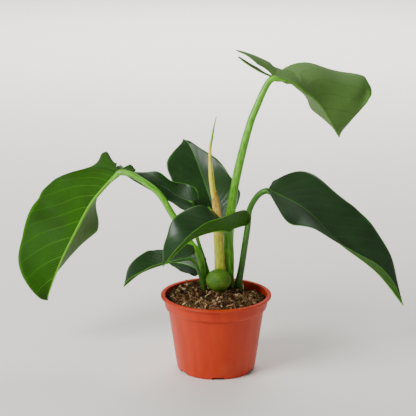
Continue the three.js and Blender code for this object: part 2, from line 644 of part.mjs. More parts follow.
// The stalk runs on under the first few millimetres of the midrib.
function stalkRoute(leaf) {
  const midrib = new THREE.CatmullRomCurve3(leaf.midrib.map(vector), false, 'centripetal');
  const under = vector(leaf.face[0]).normalize().multiplyScalar(-STALK_UNDER * leaf.stalkRadii.at(-1));
  const ends = [0, STALK_OVERLAP].map((x) => midrib.getPointAt(x / midrib.getLength()).add(under).toArray());
  return [...leaf.stalk, ...ends];
}

function stalkSolid(leaf, grow = 0) {
  return solidOf(tapered(stalkRoute(leaf), leaf.stalkRadii, STALK_SIDES, grow));
}

function buildPlant() {
  const group = new THREE.Group();
  const add = (name, solid, material) => {
    const mesh = new THREE.Mesh(geometryOf(solid), material);
    mesh.name = name;
    group.add(mesh);
  };
  const newLeafHole = newLeafSolid(2 * FIT + SHEATH_THICKNESS);
  let soil = soilSolid().subtract(bulbSolid(FIT)).subtract(newLeafHole);
  LEAVES.forEach((leaf) => {
    const stalk = stalkSolid(leaf);
    const hole = stalkSolid(leaf, FIT);
    soil = soil.subtract(hole);
    add(`${leaf.name}_blade`, bladeSolid(leaf).subtract(hole), LEAF_SKIN);
    add(`${leaf.name}_stalk`, stalk, STALK_SKIN);
  });
  add('pot', potSolid(), POT_PLASTIC);
  add('soil', soil, BARK_MIX);
  add('stem_base', bulbSolid().subtract(newLeafHole), BULB_SKIN);
  add('new_leaf', newLeafSolid(), YOUNG_LEAF);
  add('new_leaf_sheath', sheathSolid(), DRY_SHEATH);
  return group;
}

const group = buildPlant();

export default group;
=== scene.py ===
# %% [markdown]
# # A potted philodendron
#
# The plant is a young philodendron in a small plastic nursery pot. It has heart-shaped leaves on
# long stalks, and one new leaf that is still rolled up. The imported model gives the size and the
# place of every piece. This scene makes each of them again with a finer surface and its finish.

import json
import math

import bmesh
import bpy
import numpy as np
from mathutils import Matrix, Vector

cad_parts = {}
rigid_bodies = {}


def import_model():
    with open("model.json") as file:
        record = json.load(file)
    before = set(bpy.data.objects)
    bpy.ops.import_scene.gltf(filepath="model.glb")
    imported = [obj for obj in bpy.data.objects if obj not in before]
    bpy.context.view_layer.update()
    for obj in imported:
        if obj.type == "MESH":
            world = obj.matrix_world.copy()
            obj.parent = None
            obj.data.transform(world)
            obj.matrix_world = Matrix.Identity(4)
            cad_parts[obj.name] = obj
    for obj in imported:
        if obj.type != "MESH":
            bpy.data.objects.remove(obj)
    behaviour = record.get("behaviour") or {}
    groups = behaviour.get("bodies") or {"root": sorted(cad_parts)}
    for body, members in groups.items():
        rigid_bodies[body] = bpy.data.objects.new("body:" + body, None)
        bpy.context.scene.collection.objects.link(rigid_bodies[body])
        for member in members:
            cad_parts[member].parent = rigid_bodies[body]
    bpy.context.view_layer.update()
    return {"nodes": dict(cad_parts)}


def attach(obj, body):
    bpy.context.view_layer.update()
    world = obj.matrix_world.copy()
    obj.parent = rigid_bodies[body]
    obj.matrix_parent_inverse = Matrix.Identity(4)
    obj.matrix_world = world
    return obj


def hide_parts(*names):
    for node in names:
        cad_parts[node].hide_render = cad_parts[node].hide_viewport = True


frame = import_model()
print("CAD nodes:", len(frame["nodes"]))

# %% [markdown]
# ## Units and colours
#
# Sizes are written in millimetres, as a gardener would measure them, and Blender works in metres.
# Colours are written as the hex values of a paint chart, which Blender needs as linear light.

# %% Millimetres and hex values
MM = 0.001


def linear(hex_colour):
    """An sRGB hex value as linear light, with full alpha."""
    parts = [int(hex_colour[i : i + 2], 16) / 255 for i in (1, 3, 5)]
    return tuple(p / 12.92 if p <= 0.04045 else ((p + 0.055) / 1.055) ** 2.4 for p in parts) + (1.0,)


print("Half way up the hex scale is this much light:", round(linear("#808080")[0], 3))

# %% [markdown]
# ## Nodes
#
# Both the finishes and the repeated shapes are trees of nodes. They could be clicked together in
# the node editor, but in a script each number has its reason beside it. One function adds a node
# with its settings and its links. Where a node has several sockets of one name, they are told
# apart by number. A Mix node's share is 0, and its two colours are 6 and 7. A Map Range node's
# value is 0, the range that it is read in is 1 and 2, and what comes out for them is 3 and 4.
# Both ranges go from 0 to 1 where nothing else is said.

# %% Adding nodes
# What many nodes are set to: to mix colours rather than numbers, and to ease in and out.
COLOURS = {"data_type": "RGBA"}
EASED = {"interpolation_type": "SMOOTHSTEP"}
# Noise could lie anywhere from 0 to 1, but most of it lies in this range.
MOST_NOISE = {1: 0.3, 2: 0.7}


def feed(tree, node, inputs):
    """Fills a node's inputs with values, sockets, or nodes, which stand for their first live output."""
    for key, value in inputs.items():
        if isinstance(value, bpy.types.Node):
            value = next(socket for socket in value.outputs if socket.enabled)
        if isinstance(value, bpy.types.NodeSocket):
            tree.links.new(value, node.inputs[key])
        else:
            node.inputs[key].default_value = value
    return node


def add(tree, kind, settings=None, inputs=None):
    """Adds a node to a tree, with its settings and its inputs."""
    node = tree.nodes.new(kind)
    for name, value in (settings or {}).items():
        setattr(node, name, value)
    return feed(tree, node, inputs or {})


def new_material(name):
    """A material with its node tree and its shader."""
    material = bpy.data.materials.new(name)
    material.use_nodes = True
    return material, material.node_tree, material.node_tree.nodes["Principled BSDF"]


print("Most noise lies between", *MOST_NOISE.values())

# %% [markdown]
# ## Camera, floor and light
#
# The camera looks a little down at the plant from one and a half metres away, through a long
# lens, so the leaves keep their true proportions. The light could come from a picture of a sky,
# but lamps are easier to aim. A large soft one stands on the left, and weaker ones fill in from
# the right and behind. One more lights the floor behind the plant, so that the background is
# pale, and it is hidden from the gloss of the leaves.

# %% Camera
# In millimetres, degrees and pixels, as worked out from the ellipses of the pot's rim and foot.
CAMERA_PLACE = (-9.45, -1455.0, 559.0)
CAMERA_DIP = 14.07
FOCAL_PIXELS = 1297.8
PHOTO_PIXELS = 416
SENSOR_WIDTH = 36.0

camera = bpy.data.objects.new("camera", bpy.data.cameras.new("camera"))
camera.location = Vector(CAMERA_PLACE) * MM
camera.rotation_euler = (math.radians(90 - CAMERA_DIP), 0, 0)
camera.data.sensor_width = SENSOR_WIDTH
camera.data.lens = SENSOR_WIDTH * FOCAL_PIXELS / PHOTO_PIXELS
bpy.context.scene.collection.objects.link(camera)
bpy.context.scene.camera = camera
print("Lens:", round(camera.data.lens, 1), "mm")

# %% Floor
FLOOR_HALF = 6.0
FLOOR_CORNERS = [(-1, -1), (1, -1), (1, 1), (-1, 1)]

floor_mesh = bpy.data.meshes.new("floor")
floor_mesh.from_pydata([(x * FLOOR_HALF, y * FLOOR_HALF, 0) for x, y in FLOOR_CORNERS], [], [(0, 1, 2, 3)])
floor = bpy.data.objects.new("floor", floor_mesh)
bpy.context.scene.collection.objects.link(floor)
# Matt pale board: it takes soft shadows and mirrors nothing.
matt_floor, tree, shader = new_material("matt_pale_floor")
feed(tree, shader, {"Base Color": linear("#efece6"), "Roughness": 0.9})
floor_mesh.materials.append(matt_floor)
print("Floor:", 2 * FLOOR_HALF, "m wide")

# %% Lights
LIGHTS = {
    # name: (place in metres, what it faces, width in metres, watts)
    "soft_left": ((-1.5, -1.1, 1.5), (0, 0, 0.2), 1.1, 66.0),
    "soft_right": ((1.6, -0.9, 0.9), (0, 0, 0.2), 1.4, 0.8),
    "soft_back": ((0.4, 1.5, 1.6), (0, 0, 0.2), 1.2, 8.0),
    "on_floor": ((0, 3.6, 2.4), (0, 4.2, 0), 3.8, 330.0),
}
WORLD_STRENGTH = 0.3

for name, (place, faces, width, watts) in LIGHTS.items():
    lamp = bpy.data.lights.new(name, "AREA")
    lamp.size = width
    lamp.energy = watts
    lamp_object = bpy.data.objects.new(name, lamp)
    lamp_object.location = place
    lamp_object.rotation_euler = (Vector(faces) - Vector(place)).to_track_quat("-Z", "Y").to_euler()
    lamp_object.visible_glossy = name != "on_floor"
    bpy.context.scene.collection.objects.link(lamp_object)

world = bpy.data.worlds.new("pale_studio")
world.use_nodes = True
background = world.node_tree.nodes["Background"]
feed(world.node_tree, background, {"Color": linear("#f4f2ef"), "Strength": WORLD_STRENGTH})
bpy.context.scene.world = world
print("Lamps:", ", ".join(LIGHTS))

# %% [markdown]
# ## Smooth lines
#
# Every stalk, midrib and leaf margin is a smooth line through a few points. Blender's own curves
# could draw them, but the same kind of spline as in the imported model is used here, so that the
# finer pieces lie where the plain ones do. Points that lie far apart would make a plain spline
# swing wide, so the way through a point is weighed by how far off its neighbours are. Leaf
# margins are the exception: there every span counts the same.

# %% A line that is read by its length
LINE_STEPS = 40


def unit(vectors):
    """Vectors of length 1 in the same directions."""
    return vectors / np.maximum(np.linalg.norm(vectors, axis=-1, keepdims=True), 1e-12)


class Line:
    """A smooth line through points. at() and way() read it at shares of its length."""

    def __init__(self, points, even=False):
        points = np.array(points, float)
        before = points[0] if even else 2 * points[0] - points[1]
        after = points[-1] if even else 2 * points[-1] - points[-2]
        knots = np.vstack([before, points, after])
        t = np.linspace(0, 1, LINE_STEPS, endpoint=False)[:, None]
        runs = []
        for a, b, c, d in zip(knots, knots[1:], knots[2:], knots[3:]):
            leave, arrive = (c - a) / 2, (d - b) / 2
            if not even:
                g, h, k = (np.linalg.norm(v) ** 0.5 for v in (b - a, c - b, d - c))
                leave = ((b - a) / g - (c - a) / (g + h) + (c - b) / h) * h
                arrive = ((c - b) / h - (d - b) / (h + k) + (d - c) / k) * h
            square, cube = 3 * (c - b) - 2 * leave - arrive, 2 * (b - c) + leave + arrive
            runs.append(b + leave * t + square * t**2 + cube * t**3)
        self.places = np.vstack([*runs, points[-1:]])
        self.run = np.append(0, np.cumsum(np.linalg.norm(np.diff(self.places, axis=0), axis=1)))
        self.length = self.run[-1]
        self.ways = unit(np.gradient(self.places, self.run, axis=0))

    def read(self, values, share):
        distance = np.clip(share, 0, 1) * self.length
        return np.stack([np.interp(distance, self.run, column) for column in values.T], axis=-1)

    def at(self, share):
        return self.read(self.places, share)

    def way(self, share):
        return unit(self.read(self.ways, share))


print("A quarter turn through three points is", round(Line([[1, 0], [0.7071, 0.7071], [0, 1]]).length, 3), "long")

# %% [markdown]
# ## The leaves
#
# A leaf could be sculpted, or cut from a picture on a flat card. Here it is given by a few
# measures that anyone could take: the points of its stalk and of its midrib, the way its upper
# face looks, and for each half how wide it is, how far its lobe reaches back, and how it folds
# and curls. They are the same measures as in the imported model. Left and right are as seen on the
# upper face, looking towards the tip. Angles are in degrees at five stations along the midrib,
# and the rest is in millimetres or in shares of the length or width.

# %% The measures of the leaves
ROOTED_Z = 76
LEAVES = [
    {
        "name": "leaf_left",
        "stalk": [[-14, 23, ROOTED_Z], [-15, 23, 99], [-21, 24, 133], [-31, 26, 146], [-51, 30, 178],
            [-68, 34, 204], [-90, 38, 220], [-103, 41, 226]],
        "stalk_radii": [4.6, 3.3],
        "midrib": [[-115.7, 44.5, 226.9], [-147.5, 45.8, 189.7], [-165.7, 48, 157.4],
            [-188.8, 51.4, 111.1], [-204.6, 55.2, 69.6], [-205.5, 57.8, 63.3]],
        "face": [[-0.44, 0.73, 0.17], [-0.08, 0.94, -0.22], [-0.44, 0.83, -0.01]],
        "widest": 0.45,
        "left": { "width": 83.5, "full": [0.8, 0.59, 0.29], "shoulder": [0.62, 0.73], "lobe": 11, "bend": 24,
            "fold": [175, 61, 70, 35, 6], "curl": [100, 90, -40, 0, 0], "wave": [4.5, 1.57, 0.84] },
        "right": { "width": 56.1, "full": [0.62, 0.63, 0.45], "shoulder": [0.64, 0.82], "lobe": 17.4, "bend": 38,
            "fold": [-27, 55, 67, 72, 82], "curl": [1, 24, 13, -24, -36], "wave": [4.47, 1.39, 0.02] },
    },
    {
        "name": "leaf_behind_left",
        "stalk": [[-8, 26, ROOTED_Z], [-8, 26, 100], [-14, 30, 123], [-23, 36, 151], [-28, 42, 179]],
        "stalk_radii": [2.6, 1.9],
        "midrib": [[-28.1, 45.5, 190], [-46.9, 57.5, 195], [-62.8, 70.1, 203.2], [-86.6, 75.1, 208.3],
            [-114.3, 87.1, 219.1]],
        "face": [[0.15, -0.47, 0.86], [0.28, -0.3, 0.89], [0.09, -0.33, 0.89]],
        "widest": 0.25,
        "left": { "width": 24.4, "full": [0.89, 0.44, 0.22], "shoulder": [0.81, 0.96], "lobe": 9.6, "bend": 2,
            "fold": [9, 10, 9, 10, 10], "curl": [-1, 0, -1, -2, -2], "wave": [2.94, 1.76, -0.07] },
        "right": { "width": 16.9, "full": [1.03, 0.59, 0.19], "shoulder": [1.04, 1.05], "lobe": 7.7, "bend": 1,
            "fold": [91, 60, 80, 70, 50], "curl": [5, 9, 30, 0, 0], "wave": [3, 2, 0.43] },
    },
    {
        "name": "leaf_back",
        "stalk": [[12, 36, ROOTED_Z], [12, 36, 98], [11, 48, 132], [7, 62, 152], [3, 74, 164]],
        "stalk_radii": [3.4, 2.6],
        "midrib": [[-2, 76, 170], [-13, 92, 201.2], [-26, 105, 234.4], [-34, 114, 248.4], [-40.2, 127, 251]],
        "face": [[0, -1, 0.2], [0, -1, 0.3], [0, -0.8, 0.8]],
        "widest": 0.18,
        "left": { "width": 39.4, "full": [1, 0.92, 0.22], "shoulder": [0.84, 0.95], "lobe": 22, "bend": 0,
            "fold": [25, 28, 26, 12, 0], "wave": [1.82, 2, -0.06] },
        "right": { "width": 37.2, "full": [0.86, 0.3, 0.05], "shoulder": [0.6, 0.99], "lobe": 20, "bend": 0,
            "fold": [15, 9, 29, 18, 10], "wave": [2.19, 2, 0.38] },
    },
    {
        "name": "leaf_front",
        "stalk": [[17.4, 14, ROOTED_Z], [17.4, 14, 98], [18, 9, 119], [17.6, -1, 144], [16, -10, 163]],
        "stalk_radii": [3.6, 2.8],
        "midrib": [[15.2, -13.4, 171.1], [-1.3, -35.7, 176.9], [-26.7, -58.1, 173.5],
            [-47.9, -73.4, 158.5], [-59.5, -82.8, 148.4]],
        "face": [[0.01, 0.01, 1], [0.03, 0, 0.99], [-0.07, 0.1, 0.99]],
        "widest": 0.3,
        "left": { "width": 40.9, "full": [0.75, 0.55, 0.15], "shoulder": [0.73, 0.96], "lobe": 8.3, "bend": 42,
            "fold": [6, 30, 39, 39, 38], "curl": [1, 17, 10, 1, 3], "wave": [3.02, 2.34, -0.06] },
        "right": { "width": 36.7, "full": [0.91, 0.58, 0.21], "shoulder": [1.1, 0.75], "lobe": 2, "bend": 10,
            "fold": [43, 40, 46, 34, 41], "curl": [11, 0, -2, -16, -4], "wave": [4.5, 2.46, -0.17] },
    },
    {
        "name": "leaf_low_left",
        "stalk": [[-14.7, 1, ROOTED_Z], [-14.7, 1, 96], [-19.5, 1, 115], [-26, 0, 130]],
        "stalk_radii": [2.4, 1.8],
        "midrib": [[-30.5, -3, 135], [-45, -12, 135], [-63, -22, 133], [-87, -34, 126],
            [-105.6, -45.8, 113.5]],
        "face": [[0, -0.2, 1], [0, -0.2, 1], [-0.2, -0.2, 1]],
        "widest": 0.3,
        "left": { "width": 17.9, "full": [0.97, 0.56, 0.34], "shoulder": [0.49, 0.7], "lobe": 4.1, "bend": -28,
            "fold": [25, 21, 27, 40, 60], "wave": [1.62, 2, 0.3] },
        "right": { "width": 27.9, "full": [0.78, 0.52, 0.19], "shoulder": [0.73, 0.97], "lobe": 7.8, "bend": -40,
            "fold": [68, 12, 10, 44, 29], "wave": [3, 2, 0.31] },
    },
    {
        "name": "leaf_low_back",
        "stalk": [[-10, 34, ROOTED_Z], [-11, 34, 92]],
        "stalk_radii": [2.0, 1.6],
        "midrib": [[-21, 35, 109], [-38, 43, 114], [-58, 54, 113]],
        "face": [[0, -0.6, 0.8], [0, -0.6, 0.8], [0, -0.6, 0.8]],
        "widest": 0.25,
        "left": { "width": 16, "full": [0.86, 0.5, 0.2], "lobe": 4, "bend": 0,
            "fold": [20, 20, 20, 20, 20], "wave": [1, 2, 0] },
        "right": { "width": 20, "full": [0.86, 0.5, 0.2], "lobe": 4, "bend": 0,
            "fold": [20, 20, 20, 20, 20], "wave": [1, 2, 0] },
    },
    {
        "name": "leaf_right",
        "stalk": [[26, 16, ROOTED_Z], [26, 16, 92], [30, 16, 117], [34, 15, 146], [37, 13, 169], [39, 12, 189],
            [47, 10, 205], [53, 8, 211]],
        "stalk_radii": [4.2, 3.2],
        "midrib": [[60.4, 5.4, 214.8], [102.2, -0.1, 193.2], [139.1, -10.1, 158.4], [186.5, -16.8, 121.5],
            [217.9, -18.2, 81.8]],
        "face": [[0.6, -0.05, 0.77], [0.67, -0.1, 0.72], [0.6, -0.1, 0.78]],
        "widest": 0.28,
        "left": { "width": 58.1, "full": [1.02, 0.63, 0.24], "shoulder": [0.33, 1.1], "lobe": 2, "bend": 56,
            "fold": [-10, 18, 26, 33, 26], "curl": [-2, 7, 11, 3, -4], "wave": [0.6, 1.91, 0.4] },
        "right": { "width": 53.6, "full": [0.76, 0.42, 0.15], "shoulder": [0.1, 1.09], "lobe": 3.6, "bend": 27,
            "fold": [-1, 0, 10, 28, 45], "curl": [-4, -20, -18, -3, -2], "wave": [4.5, 2.67, 0.12] },
    },
    {
        "name": "leaf_top",
        "stalk": [[15.5, 26.5, ROOTED_Z], [15.5, 26.5, 90], [14.8, 26, 130], [15.2, 27, 158], [19.1, 31, 196],
            [28.4, 36, 243], [41.2, 42, 290], [48.4, 45, 307], [55, 48, 322], [62, 51, 334]],
        "stalk_radii": [5.6, 5.8, 6, 6.1, 5.9, 5, 4.9, 4.7, 4.4, 4.1, 3.6, 3.2],
        "midrib": [[66.5, 52.4, 338.3], [89.6, 55.9, 331.4], [102.6, 60.1, 321.8], [123.1, 78.5, 303.2],
            [147.3, 93.1, 264.3], [151.7, 113.9, 255.3]],
        "face": [[-0.25, 1, 0.45], [0.08, 0.95, 0.19], [-0.11, 0.98, -0.11]],
        "widest": 0.5,
        "left": { "width": 67.4, "full": [1.1, 0.3, 0.05], "shoulder": [0.3, 0.54], "lobe": 56.2, "bend": 55,
            "fold": [92, 75, 78, 75, 98], "curl": [-90, -56, -30, -4, -7], "wave": [4.5, 1.4, 0.33] },
        "right": { "width": 84.7, "full": [1.1, 0.71, 0.37], "shoulder": [0.63, 0.55], "lobe": 10, "bend": -60,
            "fold": [0, 77, 68, 11, 18], "curl": [100, 90, 97, 62, -32], "wave": [4.5, 2.31, -0.14] },
    },
]
print("Leaves:", ", ".join(leaf["name"] for leaf in LEAVES))

# %% The outline of half a blade
SHOULDER = [0.84, 0.98]
LOBE_OUTLINE = [[-0.98, 0.36], [-1, 0.6], [-0.62, 1]]
BEFORE_WIDEST = 0.45
PAST_WIDEST = [0.34, 0.67, 0.88]


def margin_of(leaf, side, length):
    """The outline of half a blade that is laid flat: x along the midrib and y out from it."""
    widest, shoulder = leaf["widest"], side.get("shoulder", SHOULDER)
    outline = [[x * side["lobe"], y * shoulder[0]] for x, y in LOBE_OUTLINE]
    outline += [[BEFORE_WIDEST * widest * length, shoulder[1]], [widest * length, 1]]
    outline += [[(widest + (1 - widest) * s) * length, f] for s, f in zip(PAST_WIDEST, side["full"])]
    return Line(np.array(outline + [[length, 0]]) * [1, side["width"]], even=True)


for leaf in LEAVES:
    length = Line(leaf["midrib"]).length
    runs = [round(margin_of(leaf, leaf[half], length).length) for half in ("left", "right")]
    print(leaf["name"], "midrib:", round(length), "mm, margins:", runs, "mm")

# %% [markdown]
# A flat blade is then bent as a real one is, and always in the same order. The lobes bend back
# past the leaf stalk, each half folds up or down along the midrib, its margin curls, and waves
# run along it that grow towards the margin. A cloth simulation could find such bends, but it
# wouldn't find the ones of this plant.

# %% Where a flat place on a blade lies in space
STATIONS = [-0.25, 0.05, 0.35, 0.7, 1]
HAND = {"right": 1, "left": -1}
NEARLY_FLAT = 1e-4
RIPPLES = 5.3
RIPPLE_HEIGHT = 0.012
RIPPLE_LAG = 0.3


def between(values, share):
    """What is given at the stations, eased from one to the next."""
    share = np.clip(share, STATIONS[0], STATIONS[-1])
    k = np.clip(np.searchsorted(STATIONS, share, side="right") - 1, 0, len(STATIONS) - 2)
    low, high = np.array(STATIONS)[k], np.array(STATIONS)[k + 1]
    t = (share - low) / (high - low)
    values = np.array(values, float)
    return values[k] + (values[k + 1] - values[k]) * t * t * (3 - 2 * t)


def blade_places(leaf, half, x, y):
    """Places in space for flat places x, y on the left or right half, in millimetres."""
    side, hand = leaf[half], HAND[half]
    midrib = Line(leaf["midrib"])
    share = x / midrib.length
    centre, along = midrib.at(share), midrib.way(share)
    face = np.stack([np.interp(share, [0, 0.5, 1], column) for column in np.array(leaf["face"], float).T], -1)
    normal = unit(face - along * np.sum(face * along, -1, keepdims=True))
    across = hand * np.cross(along, normal)

    # Behind the leaf stalk the lobe goes on as an arc, so it bends back without a crease.
    back = np.maximum(-x, 0)
    bent = math.radians(side["bend"]) * back / side["lobe"] + NEARLY_FLAT
    turn_back, reach_back = bent[..., None], (back / bent)[..., None]
    centre = centre + reach_back * (normal * (1 - np.cos(turn_back)) - along * np.sin(turn_back))
    normal = normal * np.cos(turn_back) + along * np.sin(turn_back)

    # The fold is where a half leaves the midrib, and the curl is how far it has turned at its margin.
    fold = np.radians(between(side["fold"], share))
    curl = np.radians(between(side.get("curl", [0] * len(STATIONS)), share)) + NEARLY_FLAT
    turn = curl * y / side["width"]

    # The broad wave of this half, and finer ripples on it, both still at the midrib.
    height, count, start = side["wave"]
    wave = height * np.sin(2 * np.pi * (count * share + start))
    ripple = np.sin(2 * np.pi * (RIPPLES * share + start + RIPPLE_LAG * hand))
    wave = (wave + RIPPLE_HEIGHT * side["width"] * ripple) * (y / side["width"]) ** 2

    reach = side["width"] / curl
    out = reach * (np.sin(fold + turn) - np.sin(fold)) - wave * np.sin(fold + turn)
    up = reach * (np.cos(fold) - np.cos(fold + turn)) + wave * np.cos(fold + turn)
    return centre + across * out[..., None] + normal * up[..., None]


lobe_tip = blade_places(LEAVES[-1], "left", np.array([-50.0]), np.array([20.0]))[0]
print("A place on the top leaf's lobe, in mm:", np.round(lobe_tip, 1))

# %% [markdown]
# A plain grid would cut across the veins, and a picture of veins would need a picture. So a blade
# is built along its veins. Each row of its grid is one vein's path, a bow from the midrib to the
# margin, and the columns are steps along it. Rows that start at the leaf stalk fan out into the
# two lobes, as they do in a real heart-shaped leaf. Because the grid follows the veins, so does
# everything that is painted or raised by row and column.

# %% The veins of half a blade
BLADE_ROWS = 108
BLADE_OUT = 17
RIB_OUT = 5
VEIN_BOW = (0.35, 0.55)
VEIN_LAG = 2.4
RIB_HALF_WIDTH = 2.3
RIB_ROOM = 1.15
MOST_RIB = 0.3
CLOSER_AT_MARGIN = 0.92


def half_grid(margin, level, length):
    """Flat places of one half, by row and column, with their share of the margin and of the way out."""
    rows = np.arange(BLADE_ROWS) / BLADE_ROWS
    end = margin.at(rows)
    root = np.zeros_like(end)
    root[:, 0] = length * np.maximum(0, (rows - level) / (1 - level)) ** VEIN_LAG
    bow = np.stack([root[:, 0] + (end - root)[:, 0] * VEIN_BOW[0], end[:, 1] * VEIN_BOW[1]], -1)
    # The first few columns are close together, over the midrib.
    rib = np.minimum(MOST_RIB, RIB_ROOM * RIB_HALF_WIDTH / np.maximum(2 * bow[:, 1], 1.0))
    near = np.linspace(0, 1, RIB_OUT)[None, :] * rib[:, None]
    far = rib[:, None] + (1 - rib[:, None]) * np.linspace(0, 1, BLADE_OUT)[None, 1:] ** CLOSER_AT_MARGIN
    out = np.concatenate([near, far], axis=1)
    t = out[..., None]
    flat = (1 - t) ** 2 * root[:, None] + 2 * t * (1 - t) * bow[:, None] + t**2 * end[:, None]
    return flat, np.repeat(rows[:, None], out.shape[1], axis=1), out


def level_share(margin):
    """The share of a margin's length at which it comes level with the leaf stalk."""
    return int(np.argmax(margin.at(np.arange(101) / 100)[:, 0] >= 0)) / 100


print("Half a blade has", BLADE_ROWS, "rows of", RIB_OUT + BLADE_OUT - 1, "points")

# %% [markdown]
# The two halves share the midrib's points, and all rows before the leaf stalk share one point.
# The sheet has no thickness yet. The vein map gives every point the number of its vein and how
# far out it lies, and it is what the skins are painted by.

# %% The sheet of a whole blade
VEIN_NUMBERS = 14.4
OTHER_HALF = 30.5


def blade_sheet(leaf, length):
    """A blade without thickness: points, flat places, vein map, faces, the map's faces and the rim."""
    margins = {half: margin_of(leaf, leaf[half], length) for half in HAND}
    level = sum(level_share(margin) for margin in margins.values()) / 2
    flats, places, maps, ids, own = [], [], [], {}, {}
    count = 0
    for half, hand in HAND.items():
        flat, vein, out = half_grid(margins[half], level, length)
        grid = count + np.arange(out.size).reshape(out.shape)
        own[half] = grid.copy()
        count += grid.size
        grid[flat[:, 0, 0] == 0, 0] = grid[0, 0]
        if half == "left":
            grid[:, 0] = ids["right"][:, 0]
        ids[half] = grid
        flats.append((flat * [1, hand]).reshape(-1, 2))
        places.append(blade_places(leaf, half, flat[..., 0], flat[..., 1]).reshape(-1, 3))
        number = vein * VEIN_NUMBERS + (0 if half == "right" else OTHER_HALF)
        maps.append(np.stack([number, out], -1).reshape(-1, 2))
    tip = count
    flats.append([[length, 0]])
    places.append(blade_places(leaf, "right", np.array([length]), np.array([0.0])))
    maps.append([[0, 0]])

    faces, map_faces = [], []
    for half in HAND:
        grid, drawn_grid = ids[half], own[half]
        for row in range(BLADE_ROWS):
            for column in range(grid.shape[1] - 1):
                corners = [(row, column), (row, column + 1)]
                if row < BLADE_ROWS - 1:
                    corners += [(row + 1, column + 1), (row + 1, column)]
                ring = [grid[c] for c in corners]
                drawn = [drawn_grid[c] for c in corners]
                if row == BLADE_ROWS - 1:
                    ring.append(tip)
                    drawn.append(drawn_grid[row, column])
                keep = [i for i in range(len(ring)) if ring[i] != ring[i - 1]]
                ring, drawn = [ring[i] for i in keep], [drawn[i] for i in keep]
                faces.append(ring if half == "right" else ring[::-1])
                map_faces.append(drawn if half == "right" else drawn[::-1])
    right_rim, left_rim = ([*grid[0, 1:], *grid[1:, -1]] for grid in ids.values())
    rim = [ids["right"][0, 0], *right_rim, tip, *left_rim[::-1]]
    return np.vstack(places), np.vstack(flats), np.vstack(maps), faces, map_faces, rim


sheet = blade_sheet(LEAVES[0], Line(LEAVES[0]["midrib"]).length)
print("The first sheet has", len(sheet[3]), "faces and", len(sheet[5]), "points on its rim")

# %% [markdown]
# Solidify could give the sheet its thickness, but the underside isn't the upper side moved down.
# Below, the midrib stands out as a strong rib. Above, it is a narrow groove, and the tissue
# between two veins swells up as a soft pillow. So the two sides are moved out by their own
# amounts, and a band round the margin closes them. The same loop writes what the skins read.

# %% One blade as a closed mesh
HALF_THICKNESS = 0.4
MARGIN_FROM, MARGIN_THINNER = 0.9, 0.45
RIB_HEIGHT, RIB_TIP_HEIGHT, RIB_NARROWS = 1.8, 0.3, 0.75
GROOVE_DEPTH, GROOVE_WIDTH = 0.35, 0.8
PILLOW_HEIGHT, PILLOW_EDGE = 0.18, 0.2


def sheet_normals(places, faces, number):
    """The way that each used point of a sheet faces, from the faces round it."""
    normals = np.zeros((number.max() + 1, 3))
    for ring in faces:
        a, b, c = (places[i] for i in ring[:3])
        d = places[ring[-1]]
        normals[number[ring]] += np.cross(c - a, d - b) if len(ring) == 4 else np.cross(b - a, c - a)
    return unit(normals)


def blade_mesh(leaf):
    """A blade with its thickness, midrib and pillows, as a mesh with the maps that its skins read."""
    length = Line(leaf["midrib"]).length
    places, flats, maps, faces, map_faces, rim = blade_sheet(leaf, length)
    used = np.unique(np.concatenate([np.array(f) for f in faces]))
    number = np.full(len(places), -1)
    number[used] = np.arange(len(used))
    sheet, normals = places[used], sheet_normals(places, faces, number)
    x, y = flats[used].T
    vein, out = maps[used].T

    rib_mm = np.hypot(np.minimum(x, 0), y)
    tip_share = np.clip(x / length, 0, 1)
    rib_width = RIB_HALF_WIDTH * (1 - RIB_NARROWS * tip_share)
    rib = RIB_HEIGHT + (RIB_TIP_HEIGHT - RIB_HEIGHT) * tip_share
    rib = rib * np.sqrt(np.clip(1 - (rib_mm / rib_width) ** 2, 0, 1))
    groove = GROOVE_DEPTH * np.exp(-((rib_mm / GROOVE_WIDTH) ** 2)) * (1 - tip_share)
    to_vein = np.abs((vein + 0.5) % 1 - 0.5)
    pillow = PILLOW_HEIGHT * (1 - np.exp(-((to_vein / PILLOW_EDGE) ** 2))) * np.clip(4 * out * (1 - out), 0, 1)
    thick = HALF_THICKNESS * (1 - MARGIN_THINNER * np.clip((out - MARGIN_FROM) / (1 - MARGIN_FROM), 0, 1))
    upper = sheet + normals * (thick + pillow - groove)[:, None]
    lower = sheet + normals * (pillow - thick - rib)[:, None]

    total = len(sheet)
    rings = [list(number[f]) for f in faces]
    all_faces = rings + [[i + total for i in f[::-1]] for f in rings]
    rim_maps = []
    for a, b in zip(number[rim], number[rim[1:] + rim[:1]]):
        all_faces.append([a + total, b + total, b, a])
        rim_maps.append([maps[used][k] for k in (a, b, b, a)])
    mesh = bpy.data.meshes.new(leaf["name"] + "_skin")
    mesh.from_pydata(np.vstack([upper, lower]) * MM, [], all_faces)
    corner_maps = [maps[f] for f in map_faces] + [maps[f[::-1]] for f in map_faces] + rim_maps
    vein_map = mesh.uv_layers.new(name="vein_map")
    vein_map.data.foreach_set("uv", np.vstack(corner_maps).astype(np.float32).ravel())
    write_numbers(mesh, {"rib_mm": np.tile(rib_mm, 2), "tip_share": np.tile(tip_share, 2)})
    flat_place = np.tile(np.column_stack([x, y, np.zeros(total)]) * MM, (2, 1)).astype(np.float32)
    mesh.attributes.new("flat_place", "FLOAT_VECTOR", "POINT").data.foreach_set("vector", flat_place.ravel())
    mesh.polygons.foreach_set("material_index", np.repeat([0, 1, 2], [len(rings), len(rings), len(rim)]))
    mesh.polygons.foreach_set("use_smooth", np.ones(len(all_faces), bool))
    mesh.update()
    return mesh


def write_numbers(mesh, numbers):
    """Stores numbers on the points of a mesh, each under its label."""
    for label, values in numbers.items():
        values = np.asarray(values, np.float32)
        mesh.attributes.new(label, "FLOAT", "POINT").data.foreach_set("value", values)


